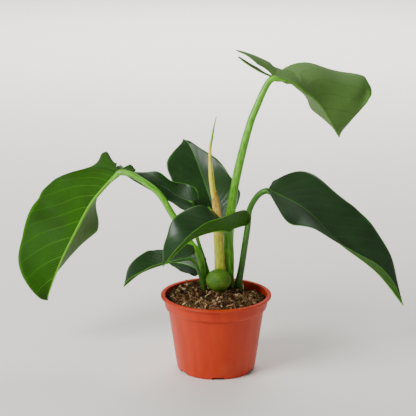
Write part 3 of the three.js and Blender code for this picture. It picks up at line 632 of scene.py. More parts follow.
print("Blade thickness:", 2 * HALF_THICKNESS, "mm, and", 2 * HALF_THICKNESS + RIB_HEIGHT, "mm at the midrib")

# %% [markdown]
# ## The skins of a leaf
#
# A philodendron leaf is leathery. Its upper skin is deep green under a layer of wax, which gives
# a soft grey sheen. Its under skin is lighter and more matt, because air lies below it, and light
# that comes through the leaf makes it glow a little. The veins show as fine pale lines, and the
# margin is a thin light rim. A photographed leaf could be laid on, but it would bring its own
# light and its own veins. So one function paints both skins from nodes, because they differ only
# in colour and gloss. It reads the vein map, so the lines run the way the real veins do.

# %% Patches, flecks and tones
PATCH_MM = 38
FLECK_MM = 1.1
SPECKS = {1: 0.35, 2: 0.75, 4: 0.22}


def leaf_tones(tree, numbers, flat, old, young, pale):
    """The tone of a leaf's tissue, from pairs of tones. Each leaf has its own patches, by its seed."""
    noise = {"noise_dimensions": "4D"}
    own = {"Vector": flat, "W": numbers["leaf_seed"]}
    patches = add(tree, "ShaderNodeTexNoise", noise, {
        **own, "Scale": 1 / (PATCH_MM * MM), "Detail": 4.0, "Roughness": 0.6})
    flecks = add(tree, "ShaderNodeTexNoise", noise, {**own, "Scale": 1 / (FLECK_MM * MM), "Detail": 2.0})
    spread = add(tree, "ShaderNodeMapRange", inputs={0: patches, **MOST_NOISE})
    old_tone, young_tone, pale_tone = (
        add(tree, "ShaderNodeMix", COLOURS, {0: spread, 6: linear(first), 7: linear(second)})
        for first, second in (old, young, pale))
    # Old tones go over to young ones by age, and on the left leaf also as a painted glow of light through it.
    aged = add(tree, "ShaderNodeMix", COLOURS, {0: numbers["freshness"], 6: old_tone, 7: young_tone})
    toned = add(tree, "ShaderNodeMix", COLOURS, {0: numbers["paleness"], 6: aged, 7: pale_tone})
    speck_share = add(tree, "ShaderNodeMapRange", inputs={0: flecks, **SPECKS})
    specked = add(tree, "ShaderNodeMix", COLOURS, {0: speck_share, 6: toned, 7: linear(old[1])})
    return patches, flecks, specked


print("Patches are about", PATCH_MM, "mm wide, and flecks", FLECK_MM, "mm")

# %% [markdown]
# The main veins lie at whole numbers of the vein map, and the fine ones between them. Both stray
# a little with the patches and fade towards the margin. Real fine veins are too close together to
# show in a picture of this size, so they are drawn coarser.

# %% Vein lines
VEIN_STRAYS, VEIN_WIDTH = 0.22, 0.075
FINE_LINES, FINE_WIDTH, FINE_SHARE = 7, 0.3, 0.45
FADE_FROM, LEFT_AT_MARGIN = 0.1, 0.3


def vein_lines(tree, vein, out, patches, strength):
    """Where the veins are, and how much of their colour shows there."""
    stray = add(tree, "ShaderNodeMath", {"operation": "MULTIPLY_ADD"}, {
        0: patches, 1: VEIN_STRAYS, 2: -VEIN_STRAYS / 2})
    number = add(tree, "ShaderNodeMath", {"operation": "ADD"}, {0: vein, 1: stray})
    to_vein = add(tree, "ShaderNodeMath", {"operation": "PINGPONG"}, {0: number, 1: 0.5})
    main_line = add(tree, "ShaderNodeMapRange", EASED, {0: to_vein, 2: VEIN_WIDTH, 3: 1.0, 4: 0.0})
    finer = add(tree, "ShaderNodeMath", {"operation": "MULTIPLY"}, {0: number, 1: FINE_LINES})
    to_fine = add(tree, "ShaderNodeMath", {"operation": "PINGPONG"}, {0: finer, 1: 0.5})
    fine_line = add(tree, "ShaderNodeMapRange", inputs={0: to_fine, 2: FINE_WIDTH, 3: FINE_SHARE, 4: 0.0})
    lines = add(tree, "ShaderNodeMath", {"operation": "MAXIMUM"}, {0: main_line, 1: fine_line})
    fade = add(tree, "ShaderNodeMapRange", inputs={0: out, 1: FADE_FROM, 3: strength, 4: LEFT_AT_MARGIN * strength})
    return lines, add(tree, "ShaderNodeMath", {"operation": "MULTIPLY"}, {0: lines, 1: fade})


print("Steps of the fine lines from one main vein to the next:", FINE_LINES)

# %% The midrib and the rim
RIB_LIGHT_MM = (2.1, 0.9)
RIB_CORE_MM = 0.5
RIB_ON_PALE = 0.3
RIM_FROM, RIM_FULL = 0.965, 0.99


def edged(tree, numbers, out, colour, rib, rim, rim_strength):
    """A colour with the light midrib, which narrows towards the tip, and the light rim over it."""
    rib_edge = add(tree, "ShaderNodeMapRange", inputs={0: numbers["tip_share"], 3: RIB_LIGHT_MM[0], 4: RIB_LIGHT_MM[1]})
    rib_most = add(tree, "ShaderNodeMapRange", inputs={0: numbers["paleness"], 3: 1.0, 4: RIB_ON_PALE})
    rib_light = add(tree, "ShaderNodeMath", {"operation": "MULTIPLY"}, {0: rib_most, 1: numbers["rib_shows"]})
    on_rib = add(tree, "ShaderNodeMapRange", EASED, {
        0: numbers["rib_mm"], 1: RIB_CORE_MM, 2: rib_edge, 3: rib_light, 4: 0.0})
    ribbed = add(tree, "ShaderNodeMix", COLOURS, {0: on_rib, 6: colour, 7: linear(rib)})
    on_rim = add(tree, "ShaderNodeMapRange", inputs={0: out, 1: RIM_FROM, 2: RIM_FULL, 4: rim_strength})
    return add(tree, "ShaderNodeMix", COLOURS, {0: on_rim, 6: ribbed, 7: linear(rim)})


print("The midrib's light line narrows from", 2 * RIB_LIGHT_MM[0], "to", 2 * RIB_LIGHT_MM[1], "mm")

# %% The skins
LEAF_RELIEF = 0.3
GREEN_GLOW = (0.5, 1.0, 0.2)


def leaf_skin(name, old, young, pale, lines, roughness, shine, glow, vein_strength, rim_strength):
    """A leaf skin. old, young and pale are pairs of tones, and lines has the tones of veins, rib and rim."""
    skin, tree, shader = new_material(name)
    numbers = {
        label: add(tree, "ShaderNodeAttribute", {"attribute_name": label}).outputs["Fac"]
        for label in ("freshness", "paleness", "fold_line", "rib_shows", "rib_mm", "tip_share", "leaf_seed")
    }
    flat = add(tree, "ShaderNodeAttribute", {"attribute_name": "flat_place"}).outputs["Vector"]
    vein_map = add(tree, "ShaderNodeUVMap", {"uv_map": "vein_map"})
    vein, out, _ = add(tree, "ShaderNodeSeparateXYZ", inputs={"Vector": vein_map}).outputs
    patches, flecks, tissue = leaf_tones(tree, numbers, flat, old, young, pale)
    any_line, line_share = vein_lines(tree, vein, out, patches, vein_strength)
    vein_tone = add(tree, "ShaderNodeMix", COLOURS, {
        0: numbers["paleness"], 6: linear(lines["vein"]), 7: linear(lines["pale_vein"])})
    veined = add(tree, "ShaderNodeMix", COLOURS, {0: line_share, 6: tissue, 7: vein_tone})
    # The fold and the folded lobe are darkened towards the darkest tone, as painted shade.
    fold_shaded = add(tree, "ShaderNodeMix", COLOURS, {0: numbers["fold_line"], 6: veined, 7: linear(old[0])})
    rimmed = edged(tree, numbers, out, fold_shaded, lines["rib"], lines["rim"], rim_strength)
    gloss = add(tree, "ShaderNodeMapRange", inputs={0: patches, **MOST_NOISE, 3: roughness - 0.05, 4: roughness + 0.08})
    relief = add(tree, "ShaderNodeMath", {"operation": "MULTIPLY_ADD"}, {0: flecks, 1: 0.35, 2: any_line})
    bump = add(tree, "ShaderNodeBump", inputs={"Strength": 0.25, "Distance": LEAF_RELIEF * MM, "Height": relief})
    feed(tree, shader, {
        "Base Color": rimmed, "Roughness": gloss, "Normal": bump, "IOR": 1.45, "Specular IOR Level": shine,
        "Subsurface Weight": glow, "Subsurface Radius": GREEN_GLOW, "Subsurface Scale": 4 * MM})
    return skin


# Waxed upper skin: deep green with a satin sheen, so it mirrors bright surroundings as a soft grey.
waxed_upper_skin = leaf_skin(
    "waxed_upper_skin", old=("#11260f", "#1d3b18"), young=("#2c5a12", "#3c6e18"), pale=("#4c6c34", "#5a7c3e"),
    lines={"vein": "#34682e", "pale_vein": "#86a668", "rib": "#4f8634", "rim": "#477f22"},
    roughness=0.37, shine=0.5, glow=0.03, vein_strength=0.45, rim_strength=0.7,
)
# Matt under skin: lighter and warmer, with raised pale veins, and it scatters what comes through.
# Its young tones are the saturated green that paints the glow of light through the left leaf.
matt_under_skin = leaf_skin(
    "matt_under_skin", old=("#1f420a", "#2f5a10"), young=("#1f3600", "#215400"), pale=("#587a3c", "#688c48"),
    lines={"vein": "#58942a", "pale_vein": "#38571e", "rib": "#72b434", "rim": "#4c881c"},
    roughness=0.6, shine=0.12, glow=0.06, vein_strength=0.4, rim_strength=0.45,
)
# The thin rim, where both skins meet: it is as light as the under skin's margin.
pale_leaf_rim = leaf_skin(
    "pale_leaf_rim", old=("#447a1c", "#528c26"), young=("#3a7010", "#44801a"), pale=("#5c8c38", "#68983f"),
    lines={"vein": "#5c9828", "pale_vein": "#5c8c38", "rib": "#72aa3c", "rim": "#5c9828"},
    roughness=0.5, shine=0.3, glow=0.1, vein_strength=0.2, rim_strength=0.7,
)
print("Nodes in a leaf skin:", len(waxed_upper_skin.node_tree.nodes))

# %% [markdown]
# No two leaves of a plant have the same tone. The left one hangs so that light comes through it,
# and its tissue shows the clearest green, which is that light painted in as a glow. The top one is
# the palest and most matt. Each leaf could have its own materials, but all of them share the same
# skins here, and the numbers that make a leaf its own are written on its points.

# %% What the skins read on each leaf
# How young a leaf is, and how brightly it is lit through, which is painted into its tissue as a glow.
FRESHNESS_AND_GLOW = {
    "leaf_left": 0.7,
    "leaf_behind_left": 0.05,
    "leaf_back": 0.12,
    "leaf_front": 0.12,
    "leaf_low_left": 0.1,
    "leaf_low_back": 0.03,
    "leaf_right": 0.08,
    "leaf_top": 0.3,
}
# How pale and matt the left and the right half of a blade are. The top leaf is pale in its own tone.
# The right half of the left leaf faces away from the light, and its paleness is painted sheen.
PALENESS = {"leaf_top": (1.0, 1.0), "leaf_left": (0.0, 0.4)}
# Where a lobe folds back over its blade: the slope of the fold, how far it reaches and its paleness.
# The fold is painted as a dark line, and the folded lobe darker, both as painted shade.
FOLDED_LOBE = {"leaf_left": (0.55, 28, 0.12)}
FOLD_SHADE, FOLD_SHADE_MM, LOBE_SHADE = 0.85, 2.6, 0.55
PAST_FOLD_MM, AT_REACH_MM, NOT_FOLDED = 2, 6, -99
# How clearly the midrib shows as a light line, where it shows less than on the other leaves.
RIB_SHOWS = {"leaf_behind_left": 0.15, "leaf_back": 0.5}
# Tips are older tissue: they lose some of their youth and of the painted glow between these shares of the length.
DARK_TIP, TIP_LOSES = (0.78, 0.97), 0.6
SEED_STEP = 3.7


def skin_numbers(leaf, seed, x, y):
    """What the skins read at the points of a blade, from their flat places in millimetres."""
    name, length = leaf["name"], Line(leaf["midrib"]).length
    at_tip = np.clip((x / length - DARK_TIP[0]) / (DARK_TIP[1] - DARK_TIP[0]), 0, 1)
    fresh = FRESHNESS_AND_GLOW[name] * (1 - TIP_LOSES * at_tip)
    # The right half of the left leaf is made paler and greyer as painted sheen, where it faces away from the light.
    pale = np.where(y < 0, *PALENESS.get(name, (0.0, 0.0)))
    line = np.zeros_like(x)
    if name in FOLDED_LOBE:
        slope, reach, tone = FOLDED_LOBE[name]
        past = np.where(y < 0, -slope * y - x, NOT_FOLDED)
        in_reach = np.clip((reach - x) / AT_REACH_MM, 0, 1)
        inside = np.clip(past / PAST_FOLD_MM, 0, 1) * in_reach
        fresh = fresh * (1 - inside)
        pale = pale * (1 - inside) + tone * inside
        # A dark line of painted shade along the fold, and painted shade over the lobe that folds back.
        line = np.maximum(FOLD_SHADE * np.exp(-((past / FOLD_SHADE_MM) ** 2)) * in_reach, LOBE_SHADE * inside)
    return {"freshness": fresh, "paleness": pale, "fold_line": line,
            "rib_shows": np.full_like(x, RIB_SHOWS.get(name, 1.0)), "leaf_seed": np.full_like(x, SEED_STEP * seed)}


print("The freshest leaf is", max(FRESHNESS_AND_GLOW, key=FRESHNESS_AND_GLOW.get))

# %% Make the blades


def finished(name, mesh, slot, *nodes):
    """Puts a finished mesh in the scene, on the body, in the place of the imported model's nodes."""
    piece = bpy.data.objects.new(name, mesh)
    bpy.context.scene.collection.objects.link(piece)
    if nodes:
        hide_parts(*nodes)
    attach(piece, "root")
    print(name, "faces:", len(mesh.polygons), "size mm:", [round(s / MM, 1) for s in piece.dimensions])
    return piece


for seed, leaf in enumerate(LEAVES):
    mesh = blade_mesh(leaf)
    for skin in (waxed_upper_skin, matt_under_skin, pale_leaf_rim):
        mesh.materials.append(skin)
    flat = np.zeros(3 * len(mesh.vertices), np.float32)
    mesh.attributes["flat_place"].data.foreach_get("vector", flat)
    x, y, _ = flat.reshape(-1, 3).T / MM
    write_numbers(mesh, skin_numbers(leaf, seed, x, y))
    finished(leaf["name"] + "_blade_skin", mesh, "leaf_blade", leaf["name"] + "_blade")

# %% [markdown]
# ## Geometry Nodes, built in code
#
# What follows a path or repeats is made by Geometry Nodes: the leaf stalks, the pot with its
# notches and holes, and the bits in the bark mix. Loops in Python could do the same, but a tree
# of nodes can be opened and changed by its named inputs. Its result is kept as a plain mesh,
# because only plain meshes are exported.

# %% Run a node tree and keep its mesh
SOCKETS = {
    "geometry": "NodeSocketGeometry",
    "number": "NodeSocketFloat",
    "count": "NodeSocketInt",
    "vector": "NodeSocketVector",
    "material": "NodeSocketMaterial",
    "collection": "NodeSocketCollection",
}


def new_tree(name, inputs):
    """A node tree with a geometry input, a geometry output and named inputs, each given by its kind."""
    tree = bpy.data.node_groups.new(name, "GeometryNodeTree")
    tree.interface.new_socket("Geometry", in_out="OUTPUT", socket_type="NodeSocketGeometry")
    for label, kind in {"Geometry": "geometry", **inputs}.items():
        tree.interface.new_socket(label, in_out="INPUT", socket_type=SOCKETS[kind])
    return tree, tree.nodes.new("NodeGroupInput").outputs


def close_tree(tree, geometry, material):
    """Ends a tree in real geometry with a material, which is what the export can read."""
    real = add(tree, "GeometryNodeRealizeInstances", inputs={"Geometry": geometry})
    dressed = add(tree, "GeometryNodeSetMaterial", inputs={"Geometry": real, "Material": material})
    add(tree, "NodeGroupOutput", inputs={0: dressed})
    print(tree.name, "nodes:", len(tree.nodes))


def run_tree(tree, start, values):
    """The mesh that a tree makes from a starting mesh or curve, with its inputs set by identifier."""
    carrier = bpy.data.objects.new(tree.name + "_start", start)
    bpy.context.scene.collection.objects.link(carrier)
    modifier = carrier.modifiers.new(tree.name, "NODES")
    modifier.node_group = tree
    identifiers = {s.name: s.identifier for s in tree.interface.items_tree if s.in_out == "INPUT"}
    for label, value in values.items():
        modifier[identifiers[label]] = value
    shown = carrier.evaluated_get(bpy.context.evaluated_depsgraph_get())
    mesh = bpy.data.meshes.new_from_object(shown)
    carrier.modifiers.remove(modifier)
    bpy.data.objects.remove(carrier)
    return mesh


# %% [markdown]
# ## The leaf stalks
#
# A leaf stalk is round and juicy. It is a little swollen where it stands in the soil and just
# below the blade, and it thins out into the midrib. A curve with a bevel would do for the tube,
# but it knows nothing of swellings. So a tree sweeps a circle along each stalk's route, with a
# radius that it works out from the distance to both ends. It also stores how far along and
# around each point lies, for the streaks in its skin.

# %% The stalk tree
FOOT_SWELL, FOOT_SWELL_LENGTH = 1.16, 28
TAPER, TAPER_LENGTH = 0.35, 16
NECK_SWELL, NECK_LENGTH = 1.08, 20

stalk_tree, given = new_tree("leaf_stalk", {"Buried length": "number", "Sides": "count", "Skin": "material"})
spot = add(stalk_tree, "GeometryNodeSplineParameter").outputs
total = add(stalk_tree, "GeometryNodeCurveLength", inputs={0: given["Geometry"]})
from_soil = add(stalk_tree, "ShaderNodeMath", {"operation": "SUBTRACT"}, {0: spot["Length"], 1: given["Buried length"]})
to_tip = add(stalk_tree, "ShaderNodeMath", {"operation": "SUBTRACT"}, {0: total, 1: spot["Length"]})
foot_swell = add(stalk_tree, "ShaderNodeMapRange", {"interpolation_type": "SMOOTHERSTEP"}, {
    0: from_soil, 2: FOOT_SWELL_LENGTH * MM, 3: FOOT_SWELL})
taper = add(stalk_tree, "ShaderNodeMapRange", EASED, {0: to_tip, 2: TAPER_LENGTH * MM, 3: TAPER})
neck_swell = add(stalk_tree, "ShaderNodeMapRange", EASED, {
    0: to_tip, 1: TAPER_LENGTH * MM, 2: (TAPER_LENGTH + NECK_LENGTH) * MM, 3: NECK_SWELL})
radius = add(stalk_tree, "GeometryNodeInputRadius")
for change in (foot_swell, taper, neck_swell):
    radius = add(stalk_tree, "ShaderNodeMath", {"operation": "MULTIPLY"}, {0: radius, 1: change})
stored = {"data_type": "FLOAT", "domain": "POINT"}
route = add(stalk_tree, "GeometryNodeStoreNamedAttribute", stored, {
    "Geometry": given["Geometry"], "Name": "along", "Value": spot["Length"]})
circle = add(stalk_tree, "GeometryNodeCurvePrimitiveCircle", inputs={"Resolution": given["Sides"], "Radius": 1.0})
around = add(stalk_tree, "GeometryNodeStoreNamedAttribute", stored, {
    "Geometry": circle, "Name": "around", "Value": spot["Factor"]})
swept = add(stalk_tree, "GeometryNodeCurveToMesh", inputs={
    "Curve": route, "Profile Curve": around, "Scale": radius, "Fill Caps": True})
rounded_off = add(stalk_tree, "GeometryNodeSetShadeSmooth", inputs={"Geometry": swept})
close_tree(stalk_tree, rounded_off, given["Skin"])

# %% [markdown]
# The skin of a stalk is tight and fresh, with long pale streaks. It is painted deeper green where it
# turns away and darker green low down near the soil, both as painted shade. It could be one flat
# green, but then it looks like a cable. Noise that is stretched along the stalk makes the streaks.
# How far round and how far along a point lies makes the place that the noise is read at, so the
# streaks follow every bend and meet all round.

# %% The skin of the stalks
STREAKS_AROUND = 5
STREAK_MM = 24
STALK_RELIEF = 0.4
# Where the stalks are painted darker low down, as painted shade, in mm along them.
LOW_SHADE_MM = (14, 55)

# Fresh stalk skin: a clear green, smooth enough for a line of light, and light goes into it.
stalk_skin, tree, shader = new_material("fresh_stalk_skin")
along, around, youth = (
    add(tree, "ShaderNodeAttribute", {"attribute_name": label}).outputs["Fac"]
    for label in ("along", "around", "youth"))
stretch = add(tree, "ShaderNodeMath", {"operation": "MULTIPLY"}, {0: along, 1: 1 / (STREAK_MM * MM)})
wrap = add(tree, "ShaderNodeMath", {"operation": "MULTIPLY"}, {0: around, 1: 2 * math.pi})
turn_x = add(tree, "ShaderNodeMath", {"operation": "COSINE"}, {0: wrap})
turn_y = add(tree, "ShaderNodeMath", {"operation": "SINE"}, {0: wrap})
place = add(tree, "ShaderNodeCombineXYZ", inputs={0: turn_x, 1: turn_y, 2: stretch})
streaks = add(tree, "ShaderNodeTexNoise", inputs={
    "Vector": place, "Scale": STREAKS_AROUND / 2, "Detail": 5.0, "Roughness": 0.55})
share = add(tree, "ShaderNodeMapRange", inputs={0: streaks, **MOST_NOISE})
old_green = add(tree, "ShaderNodeMix", COLOURS, {0: share, 6: linear("#27560e"), 7: linear("#437c1c")})
young_green = add(tree, "ShaderNodeMix", COLOURS, {0: share, 6: linear("#3d8a0c"), 7: linear("#8ad63c")})
own_green = add(tree, "ShaderNodeMix", COLOURS, {0: youth, 6: old_green, 7: young_green})
# Darker green low on the stalk: painted shade near the soil.
painted_low_shade = add(tree, "ShaderNodeMapRange", EASED, {
    0: along, 1: LOW_SHADE_MM[0] * MM, 2: LOW_SHADE_MM[1] * MM, 3: 0.55, 4: 0.0})
low_shaded = add(tree, "ShaderNodeMix", COLOURS, {0: painted_low_shade, 6: own_green, 7: linear("#2f6421")})
# Deeper green where the stalk turns away from the view: painted shade on its sides.
edge = add(tree, "ShaderNodeLayerWeight", inputs={"Blend": 0.45}).outputs["Facing"]
to_edge = add(tree, "ShaderNodeMapRange", EASED, {0: edge, 1: 0.25, 2: 0.85, 4: 0.75})
edge_shaded = add(tree, "ShaderNodeMix", COLOURS, {0: to_edge, 6: low_shaded, 7: linear("#266408")})
sheen = add(tree, "ShaderNodeMapRange", inputs={0: streaks, **MOST_NOISE, 3: 0.32, 4: 0.44})
bump = add(tree, "ShaderNodeBump", inputs={"Strength": 0.2, "Distance": STALK_RELIEF * MM, "Height": streaks})
feed(tree, shader, {
    "Base Color": edge_shaded, "Roughness": sheen, "Normal": bump, "IOR": 1.45, "Subsurface Weight": 0.08,
    "Subsurface Radius": GREEN_GLOW, "Subsurface Scale": 3 * MM})
print("Nodes in the stalk skin:", len(tree.nodes))

# %% Sweep the eight stalks
BURIED_LENGTH = 14
STALK_SIDES = 20
ROUTE_POINTS = 64
# Each route ends under the midrib, at these distances from the leaf stalk.
UNDER_RIB = (0, 5, 15)
BELOW_FACE = 0.6
YOUTH = {"leaf_top": 1.0, "leaf_left": 0.9, "leaf_right": 0.05, "leaf_back": 0.4}
USUAL_YOUTH = 0.3


def route_curve(name, points, radii):
    """A curve of straight steps along a smooth line through the points. The radii spread evenly over it."""
    curve = bpy.data.curves.new(name, "CURVE")
    curve.dimensions = "3D"
    spline = curve.splines.new("POLY")
    spline.points.add(ROUTE_POINTS - 1)
    steps = np.linspace(0, 1, ROUTE_POINTS)
    spline.points.foreach_set("co", np.column_stack([Line(points).at(steps) * MM, np.ones(ROUTE_POINTS)]).ravel())
    spline.points.foreach_set("radius", np.interp(steps, np.linspace(0, 1, len(radii)), radii) * MM)
    return curve


for leaf in LEAVES:
    midrib = Line(leaf["midrib"])
    under = -BELOW_FACE * leaf["stalk_radii"][-1] * unit(np.array(leaf["face"][0], float))
    ends = [list(midrib.at(x / midrib.length) + under) for x in UNDER_RIB]
    route = route_curve(leaf["name"], leaf["stalk"] + ends, leaf["stalk_radii"])
    mesh = run_tree(stalk_tree, route, {"Buried length": BURIED_LENGTH * MM, "Sides": STALK_SIDES, "Skin": stalk_skin})
    write_numbers(mesh, {"youth": np.full(len(mesh.vertices), YOUTH.get(leaf["name"], USUAL_YOUTH))})
    finished(leaf["name"] + "_stalk_skin", mesh, "leaf_stalk", leaf["name"] + "_stalk")

# %% [markdown]
# ## The rolled new leaf, its sheath and the stem base
#
# A new leaf comes up rolled like a scroll, so one edge lies over the other and shows as a fine
# step that winds upwards. It pushes out of a sheath, which is a leaf that never opened: it is
# fleshy and yellow-green at first, then it dries from the top down and turns tan. Both grow from
# a green ball, the swollen base of the stem, which still shows faint rings where older sheaths
# sat. All three could be swept tubes, but their radius changes with the turn as well as with the
# height. So their rings of points are worked out with numbers, and faces join ring to ring.

# %% Rings of points along a route
NEW_LEAF_ROUTE = [[5, 14, ROOTED_Z], [4.6, 14, 118], [2.3, 14, 160], [0, 14, 193], [-4, 14, 213],
                  [-6.5, 14, 239], [-7, 14, 262], [-5, 14, 273], [-3, 14, 285], [0, 14, 299]]
NEW_LEAF_RADII = [5.4, 5.3, 4.7, 4.1, 3.7, 3.5, 3.3, 2.1, 1.4, 0.5]
new_leaf_line = Line(NEW_LEAF_ROUTE)


def new_leaf_radius(share):
    """The radius of the rolled leaf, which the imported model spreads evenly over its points."""
    return np.interp(share, np.linspace(0, 1, len(NEW_LEAF_RADII)), NEW_LEAF_RADII)


def around_line(line, share, turn, radius):
    """Points around a line, at shares of its length. Turn 0 is on the right, a quarter turn is the back."""
    centre, along = line.at(share), line.way(share)
    right = unit(np.array([1.0, 0, 0]) - along * along[..., :1])
    back = np.cross(along, right)
    return centre + radius[..., None] * (right * np.cos(turn)[..., None] + back * np.sin(turn)[..., None])


def full_turn(sides):
    """Angles all round, without the last one, which would be the first again."""
    return np.linspace(0, 2 * np.pi, sides, endpoint=False)


def ringed_mesh(name, rings, numbers, close_ends=True):
    """A closed mesh of rings of points. Numbers are attributes, with a value for each point."""
    count, sides = rings.shape[:2]
    ids = np.arange(count * sides).reshape(count, sides)
    faces = []
    for low, high in zip(ids, ids[1:]):
        faces += [[low[j], low[(j + 1) % sides], high[(j + 1) % sides], high[j]] for j in range(sides)]
    if close_ends:
        faces += [list(ids[0][::-1]), list(ids[-1])]
    else:
        first, last = ids[0], ids[-1]
        faces += [[last[j], last[(j + 1) % sides], first[(j + 1) % sides], first[j]] for j in range(sides)]
    mesh = bpy.data.meshes.new(name)
    mesh.from_pydata(rings.reshape(-1, 3) * MM, [], faces)
    write_numbers(mesh, {label: np.broadcast_to(values, (count, sides)).ravel() for label, values in numbers.items()})
    mesh.polygons.foreach_set("use_smooth", np.ones(len(faces), bool))
    mesh.update()
    return mesh


print("The new leaf's route is", round(new_leaf_line.length), "mm long")

# %% The rolled leaf
ROLL_SIDES = 40
ROLL_RINGS = 150
ROLL_STEP, ROLL_STEP_EASE = 0.2, 1.5
ROLL_SEAM, ROLL_TWIST = -1.9, 1.9
ROLL_SWELL, ROLL_SWELLS = 0.02, 38

share = np.linspace(0, 1, ROLL_RINGS)[:, None]
turn = full_turn(ROLL_SIDES)[None, :]
seam = ROLL_SEAM + ROLL_TWIST * share
past_seam = np.mod(turn - seam, 2 * np.pi) / (2 * np.pi)
scroll = 1 - ROLL_STEP * past_seam**ROLL_STEP_EASE
radius = new_leaf_radius(share) * scroll * (1 + ROLL_SWELL * np.sin(ROLL_SWELLS * share))
rings = around_line(new_leaf_line, np.broadcast_to(share, radius.shape), np.broadcast_to(turn, radius.shape), radius)
roll_mesh = ringed_mesh(
    "new_leaf_skin", rings, {"height_mm": rings[..., 2], "past_seam": past_seam, "around": turn / (2 * np.pi)})
print("Step of the roll:", round(ROLL_STEP * NEW_LEAF_RADII[0], 1), "mm at its foot")

# %% [markdown]
# The sheath hugs the rolled leaf with a small gap. Its mouth is cut on a slant, so each side has
# its own length, which is found by walking up that side to the slanted plane. Two keels run up
# it, its lip is thin and wavy, and its inner face comes back down, so that it is a real tube.

# %% The sheath
SHEATH_FOOT_Z = 78
SHEATH_TIP = np.array([5.0, 13, 219])
SHEATH_SLANT = math.radians(62)
SHEATH_SIDES = 72
SHEATH_RINGS = 90
SHEATH_GAP = 0.3
SHEATH_SKIN, LIP_SKIN, LIP_FROM = 1.2, 0.45, 0.75
LIP_WAVE, MOUTH_WAVE, LIP_ROUNDING = 0.25, 0.004, 0.25
KEEL_TURNS, KEEL_WIDTH, KEEL_HEIGHT, KEEL_STARTS = (-0.9, 2.3), 0.16, 0.7, 6

fine = np.linspace(0, 1, 1200)
mouth_way = np.array([-math.sin(SHEATH_SLANT), 0, math.cos(SHEATH_SLANT)])
turn = full_turn(SHEATH_SIDES)
foot_share, mouth_share = np.zeros(SHEATH_SIDES), np.zeros(SHEATH_SIDES)
for j, angle in enumerate(turn):
    path = around_line(new_leaf_line, fine, np.full_like(fine, angle), new_leaf_radius(fine) + SHEATH_GAP + SHEATH_SKIN)
    foot_share[j] = fine[np.argmax(path[:, 2] >= SHEATH_FOOT_Z)]
    mouth_share[j] = fine[np.argmax((path - SHEATH_TIP) @ mouth_way > 0)]
mouth_share += MOUTH_WAVE * np.sin(5 * turn) * np.sin(turn / 2)

rise = np.linspace(0, 1, SHEATH_RINGS)[:, None]
share = foot_share + (mouth_share - foot_share) * rise
to_lip = np.clip((rise - LIP_FROM) / (1 - LIP_FROM), 0, 1)
off_keel = [np.angle(np.exp(1j * (turn - k))) for k in KEEL_TURNS]
keel = KEEL_HEIGHT * sum(np.exp(-((off / KEEL_WIDTH) ** 2)) for off in off_keel)
lip_wave = LIP_WAVE * np.sin(3 * turn + 9 * rise) * to_lip
skin = SHEATH_SKIN + (LIP_SKIN - SHEATH_SKIN) * to_lip
outer = new_leaf_radius(share) + SHEATH_GAP + skin + lip_wave
outer = outer + keel * (1 - to_lip) * np.clip(rise * KEEL_STARTS, 0, 1)
inner = new_leaf_radius(share) + SHEATH_GAP * (1 - 0.5 * to_lip) + lip_wave
turns = np.broadcast_to(turn, share.shape)
outside = around_line(new_leaf_line, share, turns, outer)
inside = around_line(new_leaf_line, share, turns, inner)[::-1]
lip = ((outside[-1] + inside[0]) / 2 + new_leaf_line.way(mouth_share) * LIP_ROUNDING)[None]
rings = np.concatenate([outside, lip, inside])
rises = np.concatenate([rise, [[1.0]], rise[::-1]])
sheath_mesh = ringed_mesh(
    "sheath_skin", rings,
    {"height_mm": rings[..., 2], "rise": rises, "right_side": np.cos(turn)[None], "around": turn[None] / (2 * np.pi)},
    close_ends=False,
)
print("The sheath is", round(np.ptp(rings[..., 2])), "mm high")

# %% [markdown]
# The ball is wider than it is high, with a flat top where the sheath stands on it. Its root stock
# goes down into the soil. Both are turned shapes, and slow waves round the ball keep it from
# looking like a marble.

# %% The stem base
BALL_CENTRE = np.array([2.9, 2, 106.4])
BALL_RADIUS = 14.6
BALL_HALF_HEIGHT = 13.2
BALL_SIDES, BALL_RINGS = 96, 70
BALL_STARTS = -0.93
FLAT_TOP = 0.9
BROAD_LUMP, SMALL_LUMP = 0.018, 0.008
SCAR_RINGS, SCAR_DEPTH, SCAR_SHARPNESS = 5.5, 0.008, 8
STOCK_RADIUS = 8
STOCK_STEPS = (0.0, 6.0, 14.0)
NEARLY_CLOSED = 0.25

tilt = np.linspace(BALL_STARTS, 0.5 * np.pi, BALL_RINGS)[:, None]
turn = full_turn(BALL_SIDES)[None, :]
scar = np.sin(2 * SCAR_RINGS * tilt + 0.5 * np.sin(turn)) ** SCAR_SHARPNESS
lumpy = BROAD_LUMP * np.sin(2 * turn + 1) * np.cos(tilt) + SMALL_LUMP * np.sin(5 * turn + 4 * tilt)
across = np.where(tilt > 0, np.cos(tilt) ** FLAT_TOP, np.cos(tilt))
radius = np.maximum(BALL_RADIUS * across * (1 + lumpy - SCAR_DEPTH * scar), NEARLY_CLOSED)
height = np.broadcast_to(BALL_HALF_HEIGHT * np.sin(tilt), radius.shape)
ball = np.stack([radius * np.cos(turn), radius * np.sin(turn), height], -1) + BALL_CENTRE
stock_z = ROOTED_Z + np.array(STOCK_STEPS)[:, None]
stock = np.stack([
    BALL_CENTRE[0] + STOCK_RADIUS * np.cos(turn) + 0 * stock_z,
    BALL_CENTRE[1] + STOCK_RADIUS * np.sin(turn) + 0 * stock_z,
    stock_z + 0 * turn,
], -1)
rings = np.concatenate([stock, ball])
scars = np.concatenate([0 * stock[..., 2], scar])
ball_mesh = ringed_mesh("stem_base_skin", rings, {"height_mm": rings[..., 2], "scar": scars})
print("The ball is", 2 * BALL_RADIUS, "mm wide and its top is at", round(BALL_CENTRE[2] + BALL_HALF_HEIGHT, 1), "mm")

